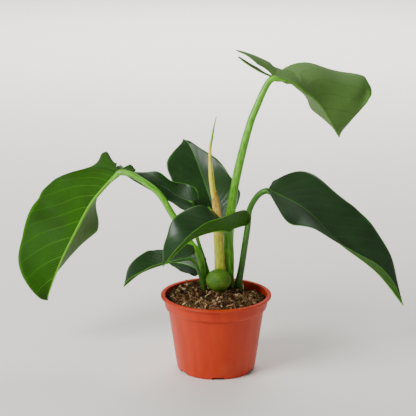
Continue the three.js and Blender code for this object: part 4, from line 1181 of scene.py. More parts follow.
# %% [markdown]
# These three pieces are the softest tissue of the plant, and light goes some way into all of
# them. They could each be one colour, but young tissue never is. The skins are painted from the
# numbers on the points: the height, which side of the stem a point is on, and how far it is from
# a seam or a scar. The step under the roll's overlapping edge is painted darker, as painted shade.
# The sheath's colour follows how it dries: the green is left low on the left side, and the tan
# creeps down the right side from the tip. That right side is away from the light, so its browner
# tone is partly painted shade.

# %% What the fleshy skins share
FLESHY_GLOW = (0.8, 0.8, 0.25)


def streaks_along(tree, streak_mm, count):
    """Noise in long streaks that run up a stem, from its height and its turn."""
    around, height_mm = (
        add(tree, "ShaderNodeAttribute", {"attribute_name": label}).outputs["Fac"] for label in ("around", "height_mm"))
    wrap = add(tree, "ShaderNodeMath", {"operation": "MULTIPLY"}, {0: around, 1: 2 * math.pi})
    side_x, side_y = (add(tree, "ShaderNodeMath", {"operation": kind}, {0: wrap}) for kind in ("COSINE", "SINE"))
    rise = add(tree, "ShaderNodeMath", {"operation": "MULTIPLY"}, {0: height_mm, 1: 1 / streak_mm})
    place = add(tree, "ShaderNodeCombineXYZ", inputs={0: side_x, 1: side_y, 2: rise})
    return add(tree, "ShaderNodeTexNoise", inputs={"Vector": place, "Scale": count / 2, "Detail": 5.0}).outputs["Fac"]


def fleshy(tree, shader, colour, roughness, height, bump_strength, bump_mm, glow):
    """Finishes a fleshy skin: its colour, gloss and relief, and light that scatters below it."""
    bump = add(tree, "ShaderNodeBump", inputs={"Strength": bump_strength, "Distance": bump_mm * MM, "Height": height})
    feed(tree, shader, {
        "Base Color": colour, "Roughness": roughness, "Normal": bump, "IOR": 1.42, "Subsurface Weight": glow,
        "Subsurface Radius": FLESHY_GLOW, "Subsurface Scale": 3 * MM})


print("Glow of red, green and blue below a fleshy skin:", *FLESHY_GLOW)

# %% The skin of the rolled leaf
TIP_GREENS_MM = (258, 274)

# Unrolled young tissue: yellow-green, a little waxy, and light goes some way into it.
young_leaf_skin, tree, shader = new_material("young_leaf_skin")
height_mm, past_seam = (
    add(tree, "ShaderNodeAttribute", {"attribute_name": label}).outputs["Fac"] for label in ("height_mm", "past_seam"))
streaks = streaks_along(tree, 20, 6)
share = add(tree, "ShaderNodeMapRange", EASED, {0: streaks, **MOST_NOISE})
pale = add(tree, "ShaderNodeMix", COLOURS, {0: share, 6: linear("#d8d42c"), 7: linear("#f6ea58")})
green = add(tree, "ShaderNodeMix", COLOURS, {0: share, 6: linear("#6aa81e"), 7: linear("#98d03c")})
upward = add(tree, "ShaderNodeMapRange", EASED, {
    0: height_mm, 1: TIP_GREENS_MM[0], 2: TIP_GREENS_MM[1]})
greener = add(tree, "ShaderNodeMix", COLOURS, {0: upward, 6: pale, 7: green})
# Darker olive in the step just under the overlapping edge of the roll: painted shade.
at_seam = add(tree, "ShaderNodeMapRange", EASED, {0: past_seam, 1: 0.93})
seam_shaded = add(tree, "ShaderNodeMix", COLOURS, {0: at_seam, 6: greener, 7: linear("#6f7f2c")})
fleshy(tree, shader, seam_shaded, 0.38, streaks, bump_strength=0.25, bump_mm=0.4, glow=0.15)
roll_mesh.materials.append(young_leaf_skin)
finished("new_leaf_skin", roll_mesh, "young_leaf", "new_leaf")

# %% The skin of the sheath
BLOTCH_MM = 11.11

# Drying sheath: fleshy and yellow-green where it is fresh, tan and papery where it has dried.
# Its right side, away from the light, is made browner partly as painted shade.
drying_sheath, tree, shader = new_material("drying_sheath")
rise, right_side = (
    add(tree, "ShaderNodeAttribute", {"attribute_name": label}).outputs["Fac"] for label in ("rise", "right_side"))
streaks = streaks_along(tree, 30, 10)
share = add(tree, "ShaderNodeMapRange", EASED, {0: streaks, **MOST_NOISE})
fresh = add(tree, "ShaderNodeMix", COLOURS, {0: share, 6: linear("#98a822"), 7: linear("#c6c63c")})
tan = add(tree, "ShaderNodeMix", COLOURS, {0: share, 6: linear("#c4983a"), 7: linear("#ecd064")})
# The right side is drier, and it is also pushed towards tan as painted shade, since the light comes from the left.
right_dry_and_shade = add(tree, "ShaderNodeMapRange", EASED, {0: right_side, 1: 0.62, 2: 0.92, 4: 0.55})
dry = add(tree, "ShaderNodeMath", {"operation": "ADD"}, {0: right_dry_and_shade, 1: rise})
dry_in_streaks = add(tree, "ShaderNodeMath", {"operation": "MULTIPLY_ADD"}, {0: streaks, 1: 0.4, 2: dry})
dried = add(tree, "ShaderNodeMapRange", EASED, {0: dry_in_streaks, 1: 0.76, 2: 0.95})
mixed = add(tree, "ShaderNodeMix", COLOURS, {0: dried, 6: fresh, 7: tan})
at_lip = add(tree, "ShaderNodeMapRange", EASED, {0: rise, 1: 0.955, 4: 0.7})
lipped = add(tree, "ShaderNodeMix", COLOURS, {0: at_lip, 6: mixed, 7: linear("#8a5a2b")})
blotches = add(tree, "ShaderNodeTexNoise", inputs={
    "Vector": add(tree, "ShaderNodeTexCoord").outputs["Object"], "Scale": 1 / (BLOTCH_MM * MM), "Detail": 4.0})
blotch_share = add(tree, "ShaderNodeMapRange", EASED, {0: blotches, 1: 0.58, 2: 0.72, 4: 0.45})
blotched = add(tree, "ShaderNodeMix", COLOURS, {0: blotch_share, 6: lipped, 7: linear("#96672f")})
papery = add(tree, "ShaderNodeMapRange", inputs={0: dried, 3: 0.42, 4: 0.62})
fleshy(tree, shader, blotched, papery, streaks, bump_strength=0.35, bump_mm=0.5, glow=0.12)
sheath_mesh.materials.append(drying_sheath)
finished("new_leaf_sheath_skin", sheath_mesh, "sheath", "new_leaf_sheath")

# %% The rind of the stem base
CLOUD_MM = 9.09
RIND_FLECK_MM = 1.111
EARTHY_MM = (90, 100)

# Matt rind of the stem base: a dull green with pale flecks, and duller where a sheath has come off.
stem_rind, tree, shader = new_material("matt_stem_rind")
height_mm, scar = (
    add(tree, "ShaderNodeAttribute", {"attribute_name": label}).outputs["Fac"] for label in ("height_mm", "scar"))
place = add(tree, "ShaderNodeTexCoord").outputs["Object"]
cloud = add(tree, "ShaderNodeTexNoise", inputs={"Vector": place, "Scale": 1 / (CLOUD_MM * MM), "Detail": 5.0})
flecks = add(tree, "ShaderNodeTexNoise", inputs={"Vector": place, "Scale": 1 / (RIND_FLECK_MM * MM), "Detail": 2.0})
share = add(tree, "ShaderNodeMapRange", EASED, {0: cloud, **MOST_NOISE})
green = add(tree, "ShaderNodeMix", COLOURS, {0: share, 6: linear("#4c7a1e"), 7: linear("#6c9a2a")})
fleck_share = add(tree, "ShaderNodeMapRange", EASED, {0: flecks, 1: 0.6, 2: 0.75, 4: 0.5})
flecked = add(tree, "ShaderNodeMix", COLOURS, {0: fleck_share, 6: green, 7: linear("#9db26a")})
scar_share = add(tree, "ShaderNodeMapRange", EASED, {0: scar, 1: 0.2, 4: 0.45})
scarred = add(tree, "ShaderNodeMix", COLOURS, {0: scar_share, 6: flecked, 7: linear("#566428")})
in_soil = add(tree, "ShaderNodeMapRange", EASED, {
    0: height_mm, 1: EARTHY_MM[0], 2: EARTHY_MM[1], 3: 0.75, 4: 0.0})
earthy = add(tree, "ShaderNodeMix", COLOURS, {0: in_soil, 6: scarred, 7: linear("#54401f")})
relief = add(tree, "ShaderNodeMath", {"operation": "MULTIPLY_ADD"}, {0: flecks, 1: 0.4, 2: cloud})
fleshy(tree, shader, earthy, 0.66, relief, bump_strength=0.3, bump_mm=0.6, glow=0.06)
ball_mesh.materials.append(stem_rind)
finished("stem_base_skin", ball_mesh, "bulb_skin", "stem_base")

# %% [markdown]
# ## The bark mix
#
# Potting mix for a plant like this is bark, wood flakes and coconut fibre. It could be one bumpy
# surface, but from near by it isn't a surface at all: it is a heap of small things with dark gaps.
# So there is a dark bed with the shape of the imported model's soil, and real bits lie on it. The
# bed is damp peat, and its near-black colour is also painted shade in the gaps.

# %% The bed
SOIL_EDGE_Z = 85
SOIL_HEAP = (-5, 11, 9.5, 39)
SOIL_DIP = (38, 32, -6, 20)
SOIL_RELIEF = 1.1
SOIL_RADIUS = 58.7
SOIL_SIDES = 120
SOIL_RINGS = 56
SOIL_WALL = [(42.8, 4.7), (45.3, 7.8), (54.7, 73.5), (58.4, 79.3)]
INNERMOST = 0.02
BED_DEPTH = 1.2
LUMP_HEIGHT = 2.0


def soil_height(x, y):
    """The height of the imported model's soil."""
    mounds = sum(
        h * np.exp(-((x - px) ** 2 + (y - py) ** 2) / spread**2) for px, py, h, spread in (SOIL_HEAP, SOIL_DIP))
    coarse = np.sin(x * 0.42 + y * 0.13) * np.cos(y * 0.39 - x * 0.21)
    return SOIL_EDGE_Z + mounds + SOIL_RELIEF * (coarse + 0.6 * np.sin(x * 0.9 - y * 0.7))


def lumps(x, y, seed, size, count=40):
    """Soft random lumps of about one size in millimetres, between -1 and 1."""
    draw = np.random.default_rng(seed)
    ways = draw.uniform(0, 2 * np.pi, count)
    waves = 2 * np.pi / (size * draw.uniform(0.7, 1.6, count))
    starts = draw.uniform(0, 2 * np.pi, count)
    total = sum(np.sin(w * (x * np.cos(a) + y * np.sin(a)) + s) for a, w, s in zip(ways, waves, starts))
    return total / math.sqrt(count / 2)


turn = full_turn(SOIL_SIDES)
rings = [np.stack([r * np.cos(turn), r * np.sin(turn), np.full_like(turn, z)], -1) for r, z in SOIL_WALL]
for r in SOIL_RADIUS * np.linspace(1, INNERMOST, SOIL_RINGS):
    x, y = r * np.cos(turn), r * np.sin(turn)
    z = soil_height(x, y) - BED_DEPTH + 0.5 * LUMP_HEIGHT * (lumps(x, y, 5, 9) + 0.6 * lumps(x, y, 6, 4))
    rings.append(np.stack([x, y, z], -1))
bed_mesh = ringed_mesh("soil_bed", np.array(rings), {})
print("Bed faces:", len(bed_mesh.polygons))

# %% [markdown]
# Where bits may lie could be painted on the bed by hand. Here it is worked out and written on the
# bed's points. Bits keep off the stem base and the leaf stalks. Moss grows only in a few damp
# patches, where the real mix is green.

# %% Where bits and moss lie
MOSS_PATCHES = [(-42, 8, 15), (-30, -34, 12), (33, -36, 13), (-20, 30, 16), (10, -45, 12), (48, -6, 9)]
KEEP_OFF_BALL, KEEP_OFF_SHEATH, KEEP_OFF_STALK = 11.0, 7.0, 0.3
KEEP_OFF_EASE = 1.5
ABOVE_WALL = 0.5

keep_off = [(*BALL_CENTRE[:2], KEEP_OFF_BALL), (*NEW_LEAF_ROUTE[0][:2], KEEP_OFF_SHEATH)]
keep_off += [(*leaf["stalk"][0][:2], leaf["stalk_radii"][0] + KEEP_OFF_STALK) for leaf in LEAVES]
places = np.zeros(len(bed_mesh.vertices) * 3)
bed_mesh.vertices.foreach_get("co", places)
x, y, z = places.reshape(-1, 3).T / MM
is_top = z > SOIL_WALL[-1][1] + ABOVE_WALL
room = np.min([np.hypot(x - px, y - py) - r for px, py, r in keep_off], axis=0)
is_open = np.clip(room / KEEP_OFF_EASE, 0, 1) * is_top
moss = np.max([np.exp(-(((x - px) ** 2 + (y - py) ** 2) / spread**2) ** 2) for px, py, spread in MOSS_PATCHES], axis=0)
moss = np.clip(moss + 0.45 * lumps(x, y, 8, 7) - 0.25, 0, 1) * is_open
write_numbers(bed_mesh, {"open_ground": is_open, "mossy": moss})
print("Open share:", round(float(is_open.mean()), 2), "mossy share:", round(float(moss.mean()), 2))

# %% [markdown]
# Each kind of bit needs only a few shapes, because every copy is turned, tipped and scaled in its
# own way. They could be modelled one by one, but broken bark has no plan. So a cube, a strand and
# a ball are knocked about at random, always with the same seed, and they have few faces, because
# there will be hundreds of each.

# %% Chips and crumbs
BIT_SEED = 41
BROKEN_EDGE = 0.16
CRUMB_DENTS = (-0.32, 0.28)
CRUMB_FLATNESS = 0.75
draw = np.random.default_rng(BIT_SEED)


def kept(shape, name):
    """Keeps a shape as an object that isn't in the scene, for a tree to repeat."""
    bmesh.ops.recalc_face_normals(shape, faces=shape.faces[:])
    mesh = bpy.data.meshes.new(name)
    shape.to_mesh(mesh)
    shape.free()
    return bpy.data.objects.new(name, mesh)


def chip_shape(name, length, width, height, ragged):
    """A bark chip: a flat bent block with broken corners and edges, of 26 faces. Sizes in millimetres."""
    shape = bmesh.new()
    bmesh.ops.create_cube(shape, size=1.0)
    bmesh.ops.bevel(shape, geom=shape.edges[:], offset=BROKEN_EDGE, segments=1, affect="EDGES")
    length, width, height = length * MM, width * MM, height * MM
    for v in shape.verts:
        v.co.x *= length * (1 + draw.uniform(-ragged, ragged))
        v.co.y *= width * (1 + draw.uniform(-ragged, ragged))
        v.co.z = v.co.z * height * (1 + draw.uniform(-ragged, ragged)) + 0.3 * height * math.sin(5 * v.co.x / length)
    return kept(shape, name)


def crumb_shape(name, size):
    """A crumb: a small ball of 20 faces with random dents."""
    shape = bmesh.new()
    bmesh.ops.create_icosphere(shape, subdivisions=1, radius=size * MM)
    for v in shape.verts:
        v.co *= 1 + draw.uniform(*CRUMB_DENTS)
        v.co.z *= CRUMB_FLATNESS
    return kept(shape, name)


def group_of(name, shapes):
    """A collection of shapes, for a tree to pick from."""
    group = bpy.data.collections.new(name)
    for shape in shapes:
        group.objects.link(shape)
    print(name, "faces:", [len(shape.data.polygons) for shape in shapes])
    return group


chips = group_of("chips", [
    chip_shape("chip_long", 9, 3.4, 1.7, 0.16),
    chip_shape("chip_square", 6, 4.6, 2.0, 0.2),
    chip_shape("chip_short", 4.5, 2.6, 1.6, 0.22),
    chip_shape("chip_splinter", 8, 1.6, 1.1, 0.2),
])

# %% Flakes and fibres


def strand_shape(name, length, radius, bends, flat=1.0, steps=8, sides=4):
    """A fibre or a flake: a thin bent strand with pointed ends. Sizes in millimetres."""
    shape = bmesh.new()
    t = np.linspace(0, 1, steps)
    length, radius, bends = length * MM, radius * MM, [b * MM for b in bends]
    path = np.stack([length * (t - 0.5), bends[0] * np.sin(np.pi * t * 1.3), bends[1] * np.sin(np.pi * t)], -1)
    loops = []
    for share, (px, py, pz) in zip(t, path):
        r = radius * (0.25 + 0.75 * math.sin(math.pi * (0.06 + 0.88 * share)) ** 0.5)
        turns = full_turn(sides)
        loops.append([shape.verts.new((px, py + r * math.cos(a), pz + r * flat * math.sin(a))) for a in turns])
    for low, high in zip(loops, loops[1:]):
        for j in range(sides):
            shape.faces.new((low[j], low[(j + 1) % sides], high[(j + 1) % sides], high[j]))
    shape.faces.new(loops[0][::-1])
    shape.faces.new(loops[-1])
    return kept(shape, name)


flakes = group_of("flakes", [
    strand_shape("flake_wide", 6, 0.95, (0.8, 0.9), flat=0.28, steps=6),
    strand_shape("flake_thin", 8, 0.5, (1.2, 1.0), flat=0.35, steps=6),
    strand_shape("flake_short", 3.6, 0.75, (0.4, 0.5), flat=0.35, steps=5),
])
fibres = group_of("fibres", [
    strand_shape("fibre_curved", 12, 0.2, (2.4, 1.8)),
    strand_shape("fibre_long", 15, 0.16, (-3.0, 1.4)),
    strand_shape("fibre_bent", 8, 0.24, (2.0, 2.4)),
])
crumbs = group_of("crumbs", [crumb_shape("crumb_large", 1.5), crumb_shape("crumb_small", 0.9)])

# %% Moss
MOSS_LEAVES = 7
MOSS_HALF_WIDTH = 0.16


def tuft_shape(name, height):
    """A tuft of moss: thin green points that lean outwards from one foot. Its height is in millimetres."""
    shape = bmesh.new()
    for i in range(MOSS_LEAVES):
        way = 2 * math.pi * (i + draw.uniform(-0.3, 0.3)) / MOSS_LEAVES
        lean, tall = draw.uniform(0.25, 1.0) * height * MM, draw.uniform(0.6, 1.0) * height * MM
        side = np.array([-math.sin(way), math.cos(way), 0]) * MOSS_HALF_WIDTH * MM
        out = np.array([math.cos(way), math.sin(way), 0])
        low, mid, high = (out * lean * s**1.6 + np.array([0, 0, tall * s]) for s in (0.0, 0.5, 1.0))
        foot = [shape.verts.new(low + d) for d in (side, -side, out * 0.2 * MM)]
        middle = [shape.verts.new(mid + 0.9 * d) for d in (side, -side, out * 0.2 * MM)]
        top = shape.verts.new(high)
        for j in range(3):
            k = (j + 1) % 3
            shape.faces.new((foot[j], foot[k], middle[k], middle[j]))
            shape.faces.new((middle[j], middle[k], top))
        shape.faces.new(foot[::-1])
    return kept(shape, name)


tufts = group_of("tufts", [tuft_shape("tuft_tall", 3.6), tuft_shape("tuft_low", 2.4)])

# %% [markdown]
# The bits could be dropped one by one, but a tree of nodes scatters them all over the bed at once.
# It puts points on the open ground, and on each point a shape that is picked, turned, tipped,
# lifted and scaled at random. Each bit also gets a random shade, which its finish reads. Long bits
# keep off the wall of the pot: their middles lie at least their room inside the reach.

# %% The tree that scatters the bits
# A number past the last shape starts again from the first, so this only has to be large enough.
LAST_PICK = 11

scatter_tree, given = new_tree("scattered_bits", {
    "Bits": "collection", "Density": "number", "Seed": "count", "Smallest": "number", "Largest": "number",
    "Tip": "number", "Lift": "number", "On moss": "number", "Reach": "number", "Room": "number", "Material": "material",
})
open_map, moss_map = (
    add(scatter_tree, "GeometryNodeInputNamedAttribute", {"data_type": "FLOAT"}, {"Name": label})
    for label in ("open_ground", "mossy"))
where = add(scatter_tree, "ShaderNodeMix", {"data_type": "FLOAT"}, {0: given["On moss"], 2: open_map, 3: moss_map})
ground = add(scatter_tree, "GeometryNodeInputPosition")
level = add(scatter_tree, "ShaderNodeVectorMath", {"operation": "MULTIPLY"}, {0: ground, 1: (1.0, 1.0, 0.0)})
from_axis = add(scatter_tree, "ShaderNodeVectorMath", {"operation": "LENGTH"}, {0: level})
to_wall = add(scatter_tree, "ShaderNodeMath", {"operation": "SUBTRACT"}, {0: given["Reach"], 1: from_axis})
fits = add(scatter_tree, "ShaderNodeMath", {"operation": "GREATER_THAN"}, {0: to_wall, 1: given["Room"]})
allowed = add(scatter_tree, "ShaderNodeMath", {"operation": "MULTIPLY"}, {0: where, 1: fits})
density = add(scatter_tree, "ShaderNodeMath", {"operation": "MULTIPLY"}, {0: allowed, 1: given["Density"]})
scattered = add(scatter_tree, "GeometryNodeDistributePointsOnFaces", inputs={
    "Mesh": given["Geometry"], 4: density, "Seed": given["Seed"]})

# What is drawn at random for each bit, from the lowest to the highest, in this order of seeds.
tip_back = add(scatter_tree, "ShaderNodeMath", {"operation": "MULTIPLY"}, {0: given["Tip"], 1: -1.0})
DRAWN = {
    "tip forwards": (tip_back, given["Tip"]),
    "tip sideways": (tip_back, given["Tip"]),
    "turn": (0.0, 2 * math.pi),
    "lift": (0.0, given["Lift"]),
    "shade": (0.0, 1.0),
    "scale": (given["Smallest"], given["Largest"]),
}
drawn = {}
for own_seed, (label, (lowest, highest)) in enumerate(DRAWN.items(), start=1):
    bit_seed = add(scatter_tree, "ShaderNodeMath", {"operation": "ADD"}, {0: given["Seed"], 1: float(own_seed)})
    drawn[label] = add(scatter_tree, "FunctionNodeRandomValue", {"data_type": "FLOAT"}, {
        2: lowest, 3: highest, 8: bit_seed})
picked = add(scatter_tree, "FunctionNodeRandomValue", {"data_type": "INT"}, {4: 0, 5: LAST_PICK, 8: given["Seed"]})

angles = add(scatter_tree, "ShaderNodeCombineXYZ", inputs={
    0: drawn["tip forwards"], 1: drawn["tip sideways"], 2: drawn["turn"]})
own_turn = add(scatter_tree, "FunctionNodeEulerToRotation", inputs={0: angles})
turned = add(scatter_tree, "FunctionNodeRotateRotation", {"rotation_space": "LOCAL"}, {
    "Rotation": scattered.outputs["Rotation"], "Rotate By": own_turn})
raised = add(scatter_tree, "ShaderNodeCombineXYZ", inputs={2: drawn["lift"]})
lifted = add(scatter_tree, "GeometryNodeSetPosition", inputs={"Geometry": scattered, "Offset": raised})
shades = add(scatter_tree, "GeometryNodeStoreNamedAttribute", {"data_type": "FLOAT", "domain": "POINT"}, {
    "Geometry": lifted, "Name": "shade", "Value": drawn["shade"]})
bits = add(scatter_tree, "GeometryNodeCollectionInfo", inputs={
    "Collection": given["Bits"], "Separate Children": True, "Reset Children": True})
laid = add(scatter_tree, "GeometryNodeInstanceOnPoints", inputs={
    "Points": shades, "Instance": bits, "Pick Instance": True, "Instance Index": picked, "Rotation": turned,
    "Scale": drawn["scale"]})
close_tree(scatter_tree, laid, given["Material"])

# %% [markdown]
# Each kind of bit has its own finish, and the random shade of a bit picks its colour from a ramp.
# One colour for each kind would be simpler, but bark is dark where it is old and reddish tan where
# it has just broken. Wood flakes are pale. Dry coconut fibre is orange-brown, and moss is a dull
# olive that turns yellow at its tips.

# %% Paint for the mix
CRUMBLY_RELIEF = 0.6


def crumbly(name, shades, roughness, grain_mm, grain_strength=0.5, sheen=0.0):
    """A rough material whose colour is picked by a bit's shade and broken up by a fine grain."""
    stuff, tree, shader = new_material(name)
    shade = add(tree, "ShaderNodeAttribute", {"attribute_name": "shade"}).outputs["Fac"]
    picker = add(tree, "ShaderNodeValToRGB", inputs={0: shade})
    picker.color_ramp.interpolation = "LINEAR"
    elements = picker.color_ramp.elements
    while len(elements) < len(shades):
        elements.new(0.5)
    for element, (position, colour) in zip(elements, shades):
        element.position, element.color = position, linear(colour)
    place = add(tree, "ShaderNodeTexCoord").outputs["Object"]
    grain = add(tree, "ShaderNodeTexNoise", inputs={"Vector": place, "Scale": 1 / (grain_mm * MM), "Detail": 4.0})
    grain_share = add(tree, "ShaderNodeMapRange", EASED, {0: grain, **MOST_NOISE, 3: 0.85, 4: 0.0})
    darker = add(tree, "ShaderNodeMix", {**COLOURS, "blend_type": "MULTIPLY"}, {
        0: grain_share, 6: picker, 7: linear("#8c7a68")})
    bump = add(tree, "ShaderNodeBump", inputs={
        "Strength": grain_strength, "Distance": CRUMBLY_RELIEF * MM, "Height": grain})
    feed(tree, shader, {
        "Base Color": darker, "Roughness": roughness, "Specular IOR Level": 0.3, "Sheen Weight": sheen, "Normal": bump})
    return stuff


# Old bark is nearly black, and it goes over brown to tan where it has broken lately.
BARK_SHADES = [(0.0, "#170e08"), (0.3, "#382316"), (0.6, "#704a30"), (0.85, "#ac8260"), (1.0, "#dab48c")]
broken_bark = crumbly("broken_bark", BARK_SHADES, 0.85, 1.2)
# Split wood is pale, with a little shine along its fibres.
WOOD_SHADES = [(0.0, "#3a2716"), (0.4, "#7a5630"), (0.75, "#cda670"), (1.0, "#f2deb6")]
split_wood = crumbly("split_wood", WOOD_SHADES, 0.7, 0.8, 0.35)
# Dry coconut fibre is thin, stiff and orange-brown.
FIBRE_SHADES = [(0.0, "#5a3a1c"), (0.5, "#996431"), (1.0, "#c08a4c")]
coconut_fibre = crumbly("coconut_fibre", FIBRE_SHADES, 0.75, 2.0, 0.2)
# Damp peat crumbs are dark and dull, and their darkness is partly painted shade that makes the gaps look deep.
PEAT_SHADES = [(0.0, "#0e0905"), (0.5, "#23170c"), (0.85, "#4a321c"), (1.0, "#846040")]
peat_crumb = crumbly("peat_crumb", PEAT_SHADES, 0.95, 0.8)
# Moss is dull olive with yellow tips, and it is soft, so its edges look a little brighter.
MOSS_SHADES = [(0.0, "#34400f"), (0.5, "#5a6618"), (1.0, "#8f9440")]
damp_moss = crumbly("damp_moss", MOSS_SHADES, 0.9, 1.5, 0.2, sheen=0.15)
# The bed is damp peat too, with a coarse grain, and it is painted near black as painted shade in the gaps between the
# bits.
peat_bed_and_gap_shade = crumbly("damp_peat_bed", [(0.0, "#0f0a06"), (1.0, "#20150c")], 0.95, 2.2)
print("Shades of bark:", len(BARK_SHADES), "of wood:", len(WOOD_SHADES), "of peat:", len(PEAT_SHADES))

# %% Scatter the bits
PER_CM2 = 1e4
MIX = {
    # name: shapes, finish, bits per square centimetre, seed, smallest and largest scale, tip in radians,
    # lift in mm, whether it grows on moss only, and the room that it keeps from the pot's wall in mm
    "peat_crumbs": (crumbs, peat_crumb, 16, 3, 0.5, 1.2, 1.2, 0.5, 0, 1.6),
    "bark_chips": (chips, broken_bark, 8, 7, 0.5, 1.35, 0.8, 1.8, 0, 6.5),
    "wood_flakes": (flakes, split_wood, 8, 11, 0.7, 1.9, 0.9, 2.8, 0, 6.5),
    "coconut_fibres": (fibres, coconut_fibre, 8, 19, 0.5, 1.15, 0.5, 2.4, 0, 8.0),
    "moss_tufts": (tufts, damp_moss, 42, 23, 0.6, 1.3, 0.6, 1.4, 1, 3.0),
}
for name, (shapes, stuff, amount, seed, smallest, largest, tip, lift, on_moss, room) in MIX.items():
    bits_mesh = run_tree(scatter_tree, bed_mesh.copy(), {
        "Bits": shapes, "Density": amount * PER_CM2, "Seed": seed, "Smallest": smallest, "Largest": largest,
        "Tip": tip, "Lift": lift * MM, "On moss": float(on_moss), "Reach": SOIL_RADIUS * MM, "Room": room * MM,
        "Material": stuff})
    finished(name, bits_mesh, "bark_mix")
bed_mesh.materials.append(peat_bed_and_gap_shade)
finished("soil_bed", bed_mesh, "bark_mix", "soil")
for group in (chips, flakes, fibres, crumbs, tufts):
    for shape in list(group.objects):
        bpy.data.objects.remove(shape)
    bpy.data.collections.remove(group)

# %% [markdown]
# ## The pot
#
# A nursery pot like this is made from one thin sheet of plastic that is drawn over a mould. So it
# is a turned shape with soft corners and a thin rim that turns outwards, with notches and holes in
# its foot for water. A Screw modifier could turn it, and Boolean modifiers could cut it. But its
# shape follows a rule, so a tree of nodes turns the outline round the axis and cuts the notches
# and the holes, all from named sizes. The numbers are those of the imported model.

# %% The outline of the pot
POT_HEIGHT, RIM_RADIUS, RIM_DEPTH = 91, 65, 2.6
NECK_RADIUS, NECK_TAPER = 61, 0.6
SHOULDER_TOP, SHOULDER_LIP, SHOULDER_BOTTOM = 79, (59, 75.2), 74
BODY_TOP_RADIUS, BODY_FOOT_RADIUS, FOOT_RADIUS = 56.4, 47, 46
FOOT_CORNER, FOOT_HEIGHT, FOOT_RING_WIDTH = 2.5, 7.5, 5
CHANNEL_HEIGHT, CENTRE_DISC_RADIUS, FLOOR_RADIUS = 3, 18, 43.1
POT_WALL = 1.3
CORNER_STEPS = 5
LONGEST_STEP = 7.0

# Each corner is given as its radius, its height and how softly it is rounded.
OUTSIDE = [
    (0.3, 0.0, 0), (CENTRE_DISC_RADIUS, 0.0, 1.0), (CENTRE_DISC_RADIUS + 1, CHANNEL_HEIGHT, 0.8),
    (FOOT_RADIUS - FOOT_RING_WIDTH, CHANNEL_HEIGHT, 0.8), (FOOT_RADIUS - FOOT_RING_WIDTH + 1, 0.0, 0.8),
    (FOOT_RADIUS - 0.9, 0.0, 2.2), (FOOT_RADIUS + 0.2, FOOT_CORNER + 1, 0.8), (BODY_FOOT_RADIUS, FOOT_HEIGHT, 1.0),
    (BODY_TOP_RADIUS, SHOULDER_BOTTOM, 0.7), (SHOULDER_LIP[0] + 0.1, SHOULDER_LIP[1] - 0.1, 0.8),
    (NECK_RADIUS - NECK_TAPER - 0.1, SHOULDER_TOP - 0.3, 1.6),
    (NECK_RADIUS, POT_HEIGHT - RIM_DEPTH - 0.1, 1.2), (RIM_RADIUS, POT_HEIGHT - RIM_DEPTH, 0.7),
    (RIM_RADIUS, POT_HEIGHT - 0.1, 0.9),
]
INSIDE = [
    (NECK_RADIUS - POT_WALL, POT_HEIGHT, 1.2), (NECK_RADIUS - NECK_TAPER - POT_WALL, SHOULDER_TOP + 0.3, 1.4),
    (BODY_TOP_RADIUS - POT_WALL, SHOULDER_BOTTOM + 0.3, 1.2), (BODY_FOOT_RADIUS - POT_WALL, FOOT_HEIGHT, 1.2),
    (FLOOR_RADIUS, CHANNEL_HEIGHT + POT_WALL, 1.5), (CENTRE_DISC_RADIUS - 1, CHANNEL_HEIGHT + POT_WALL, 0.8),
    (CENTRE_DISC_RADIUS - 2, POT_WALL, 0.8), (0.3, POT_WALL, 0),
]


def rounded(corners):
    """A polyline with each corner replaced by a short curve."""
    outline = []
    for i, (r, z, soft) in enumerate(corners):
        here = np.array([r, z], float)
        if soft == 0:
            outline.append(here)
            continue
        arms = []
        for other in (corners[i - 1], corners[(i + 1) % len(corners)]):
            arm = np.array(other[:2], float) - here
            arms.append(here + arm / np.linalg.norm(arm) * min(soft, 0.45 * np.linalg.norm(arm)))
        for t in np.linspace(0, 1, CORNER_STEPS):
            outline.append((1 - t) ** 2 * arms[0] + 2 * t * (1 - t) * here + t**2 * arms[1])
    return np.array(outline)


def with_steps(outline, longest):
    """The outline with points added where it runs straight for a long way."""
    points = [outline[0]]
    for a, b in zip(outline, outline[1:]):
        count = max(1, int(np.ceil(np.linalg.norm(b - a) / longest)))
        points += [a + (b - a) * k / count for k in range(1, count + 1)]
    return np.array(points)


outline = with_steps(rounded(OUTSIDE + INSIDE), LONGEST_STEP)
print("Points in the pot's outline:", len(outline))

# %% [markdown]
# The tree bends a grid into the pot: each row of the grid takes its radius and height from one
# point of the outline, and each column is a step of the turn. Merging the points that meet closes
# the shell. The cutters are repeated on circles, turned to face outwards, and taken away from it.

# %% The tree that turns the outline
CRISP_ANGLE = math.radians(38)
MERGE_DISTANCE = 1e-6

turned_tree, given = new_tree("turned_pot", {
    "Points": "count", "Sides": "count", "Foot radius": "number", "Notches": "count", "Notch size": "vector",
    "First notch": "number", "Drains": "count", "Drain radius": "number", "Drain circle": "number", "Wall": "number",
    "Floor height": "number", "Plastic": "material"})
sheet = add(turned_tree, "GeometryNodeMeshGrid", inputs={
    "Size X": 1.0, "Size Y": 1.0, "Vertices X": given["Points"], "Vertices Y": given["Sides"]})
number = add(turned_tree, "GeometryNodeInputIndex")
row_raw = add(turned_tree, "ShaderNodeMath", {"operation": "DIVIDE"}, {0: number, 1: given["Sides"]})
row = add(turned_tree, "ShaderNodeMath", {"operation": "FLOOR"}, {0: row_raw})
column = add(turned_tree, "ShaderNodeMath", {"operation": "MODULO"}, {0: number, 1: given["Sides"]})
last = add(turned_tree, "ShaderNodeMath", {"operation": "SUBTRACT"}, {0: given["Sides"], 1: 1.0})
share = add(turned_tree, "ShaderNodeMath", {"operation": "DIVIDE"}, {0: column, 1: last})
turn = add(turned_tree, "ShaderNodeMath", {"operation": "MULTIPLY"}, {0: share, 1: 2 * math.pi})
place = add(turned_tree, "GeometryNodeInputPosition")
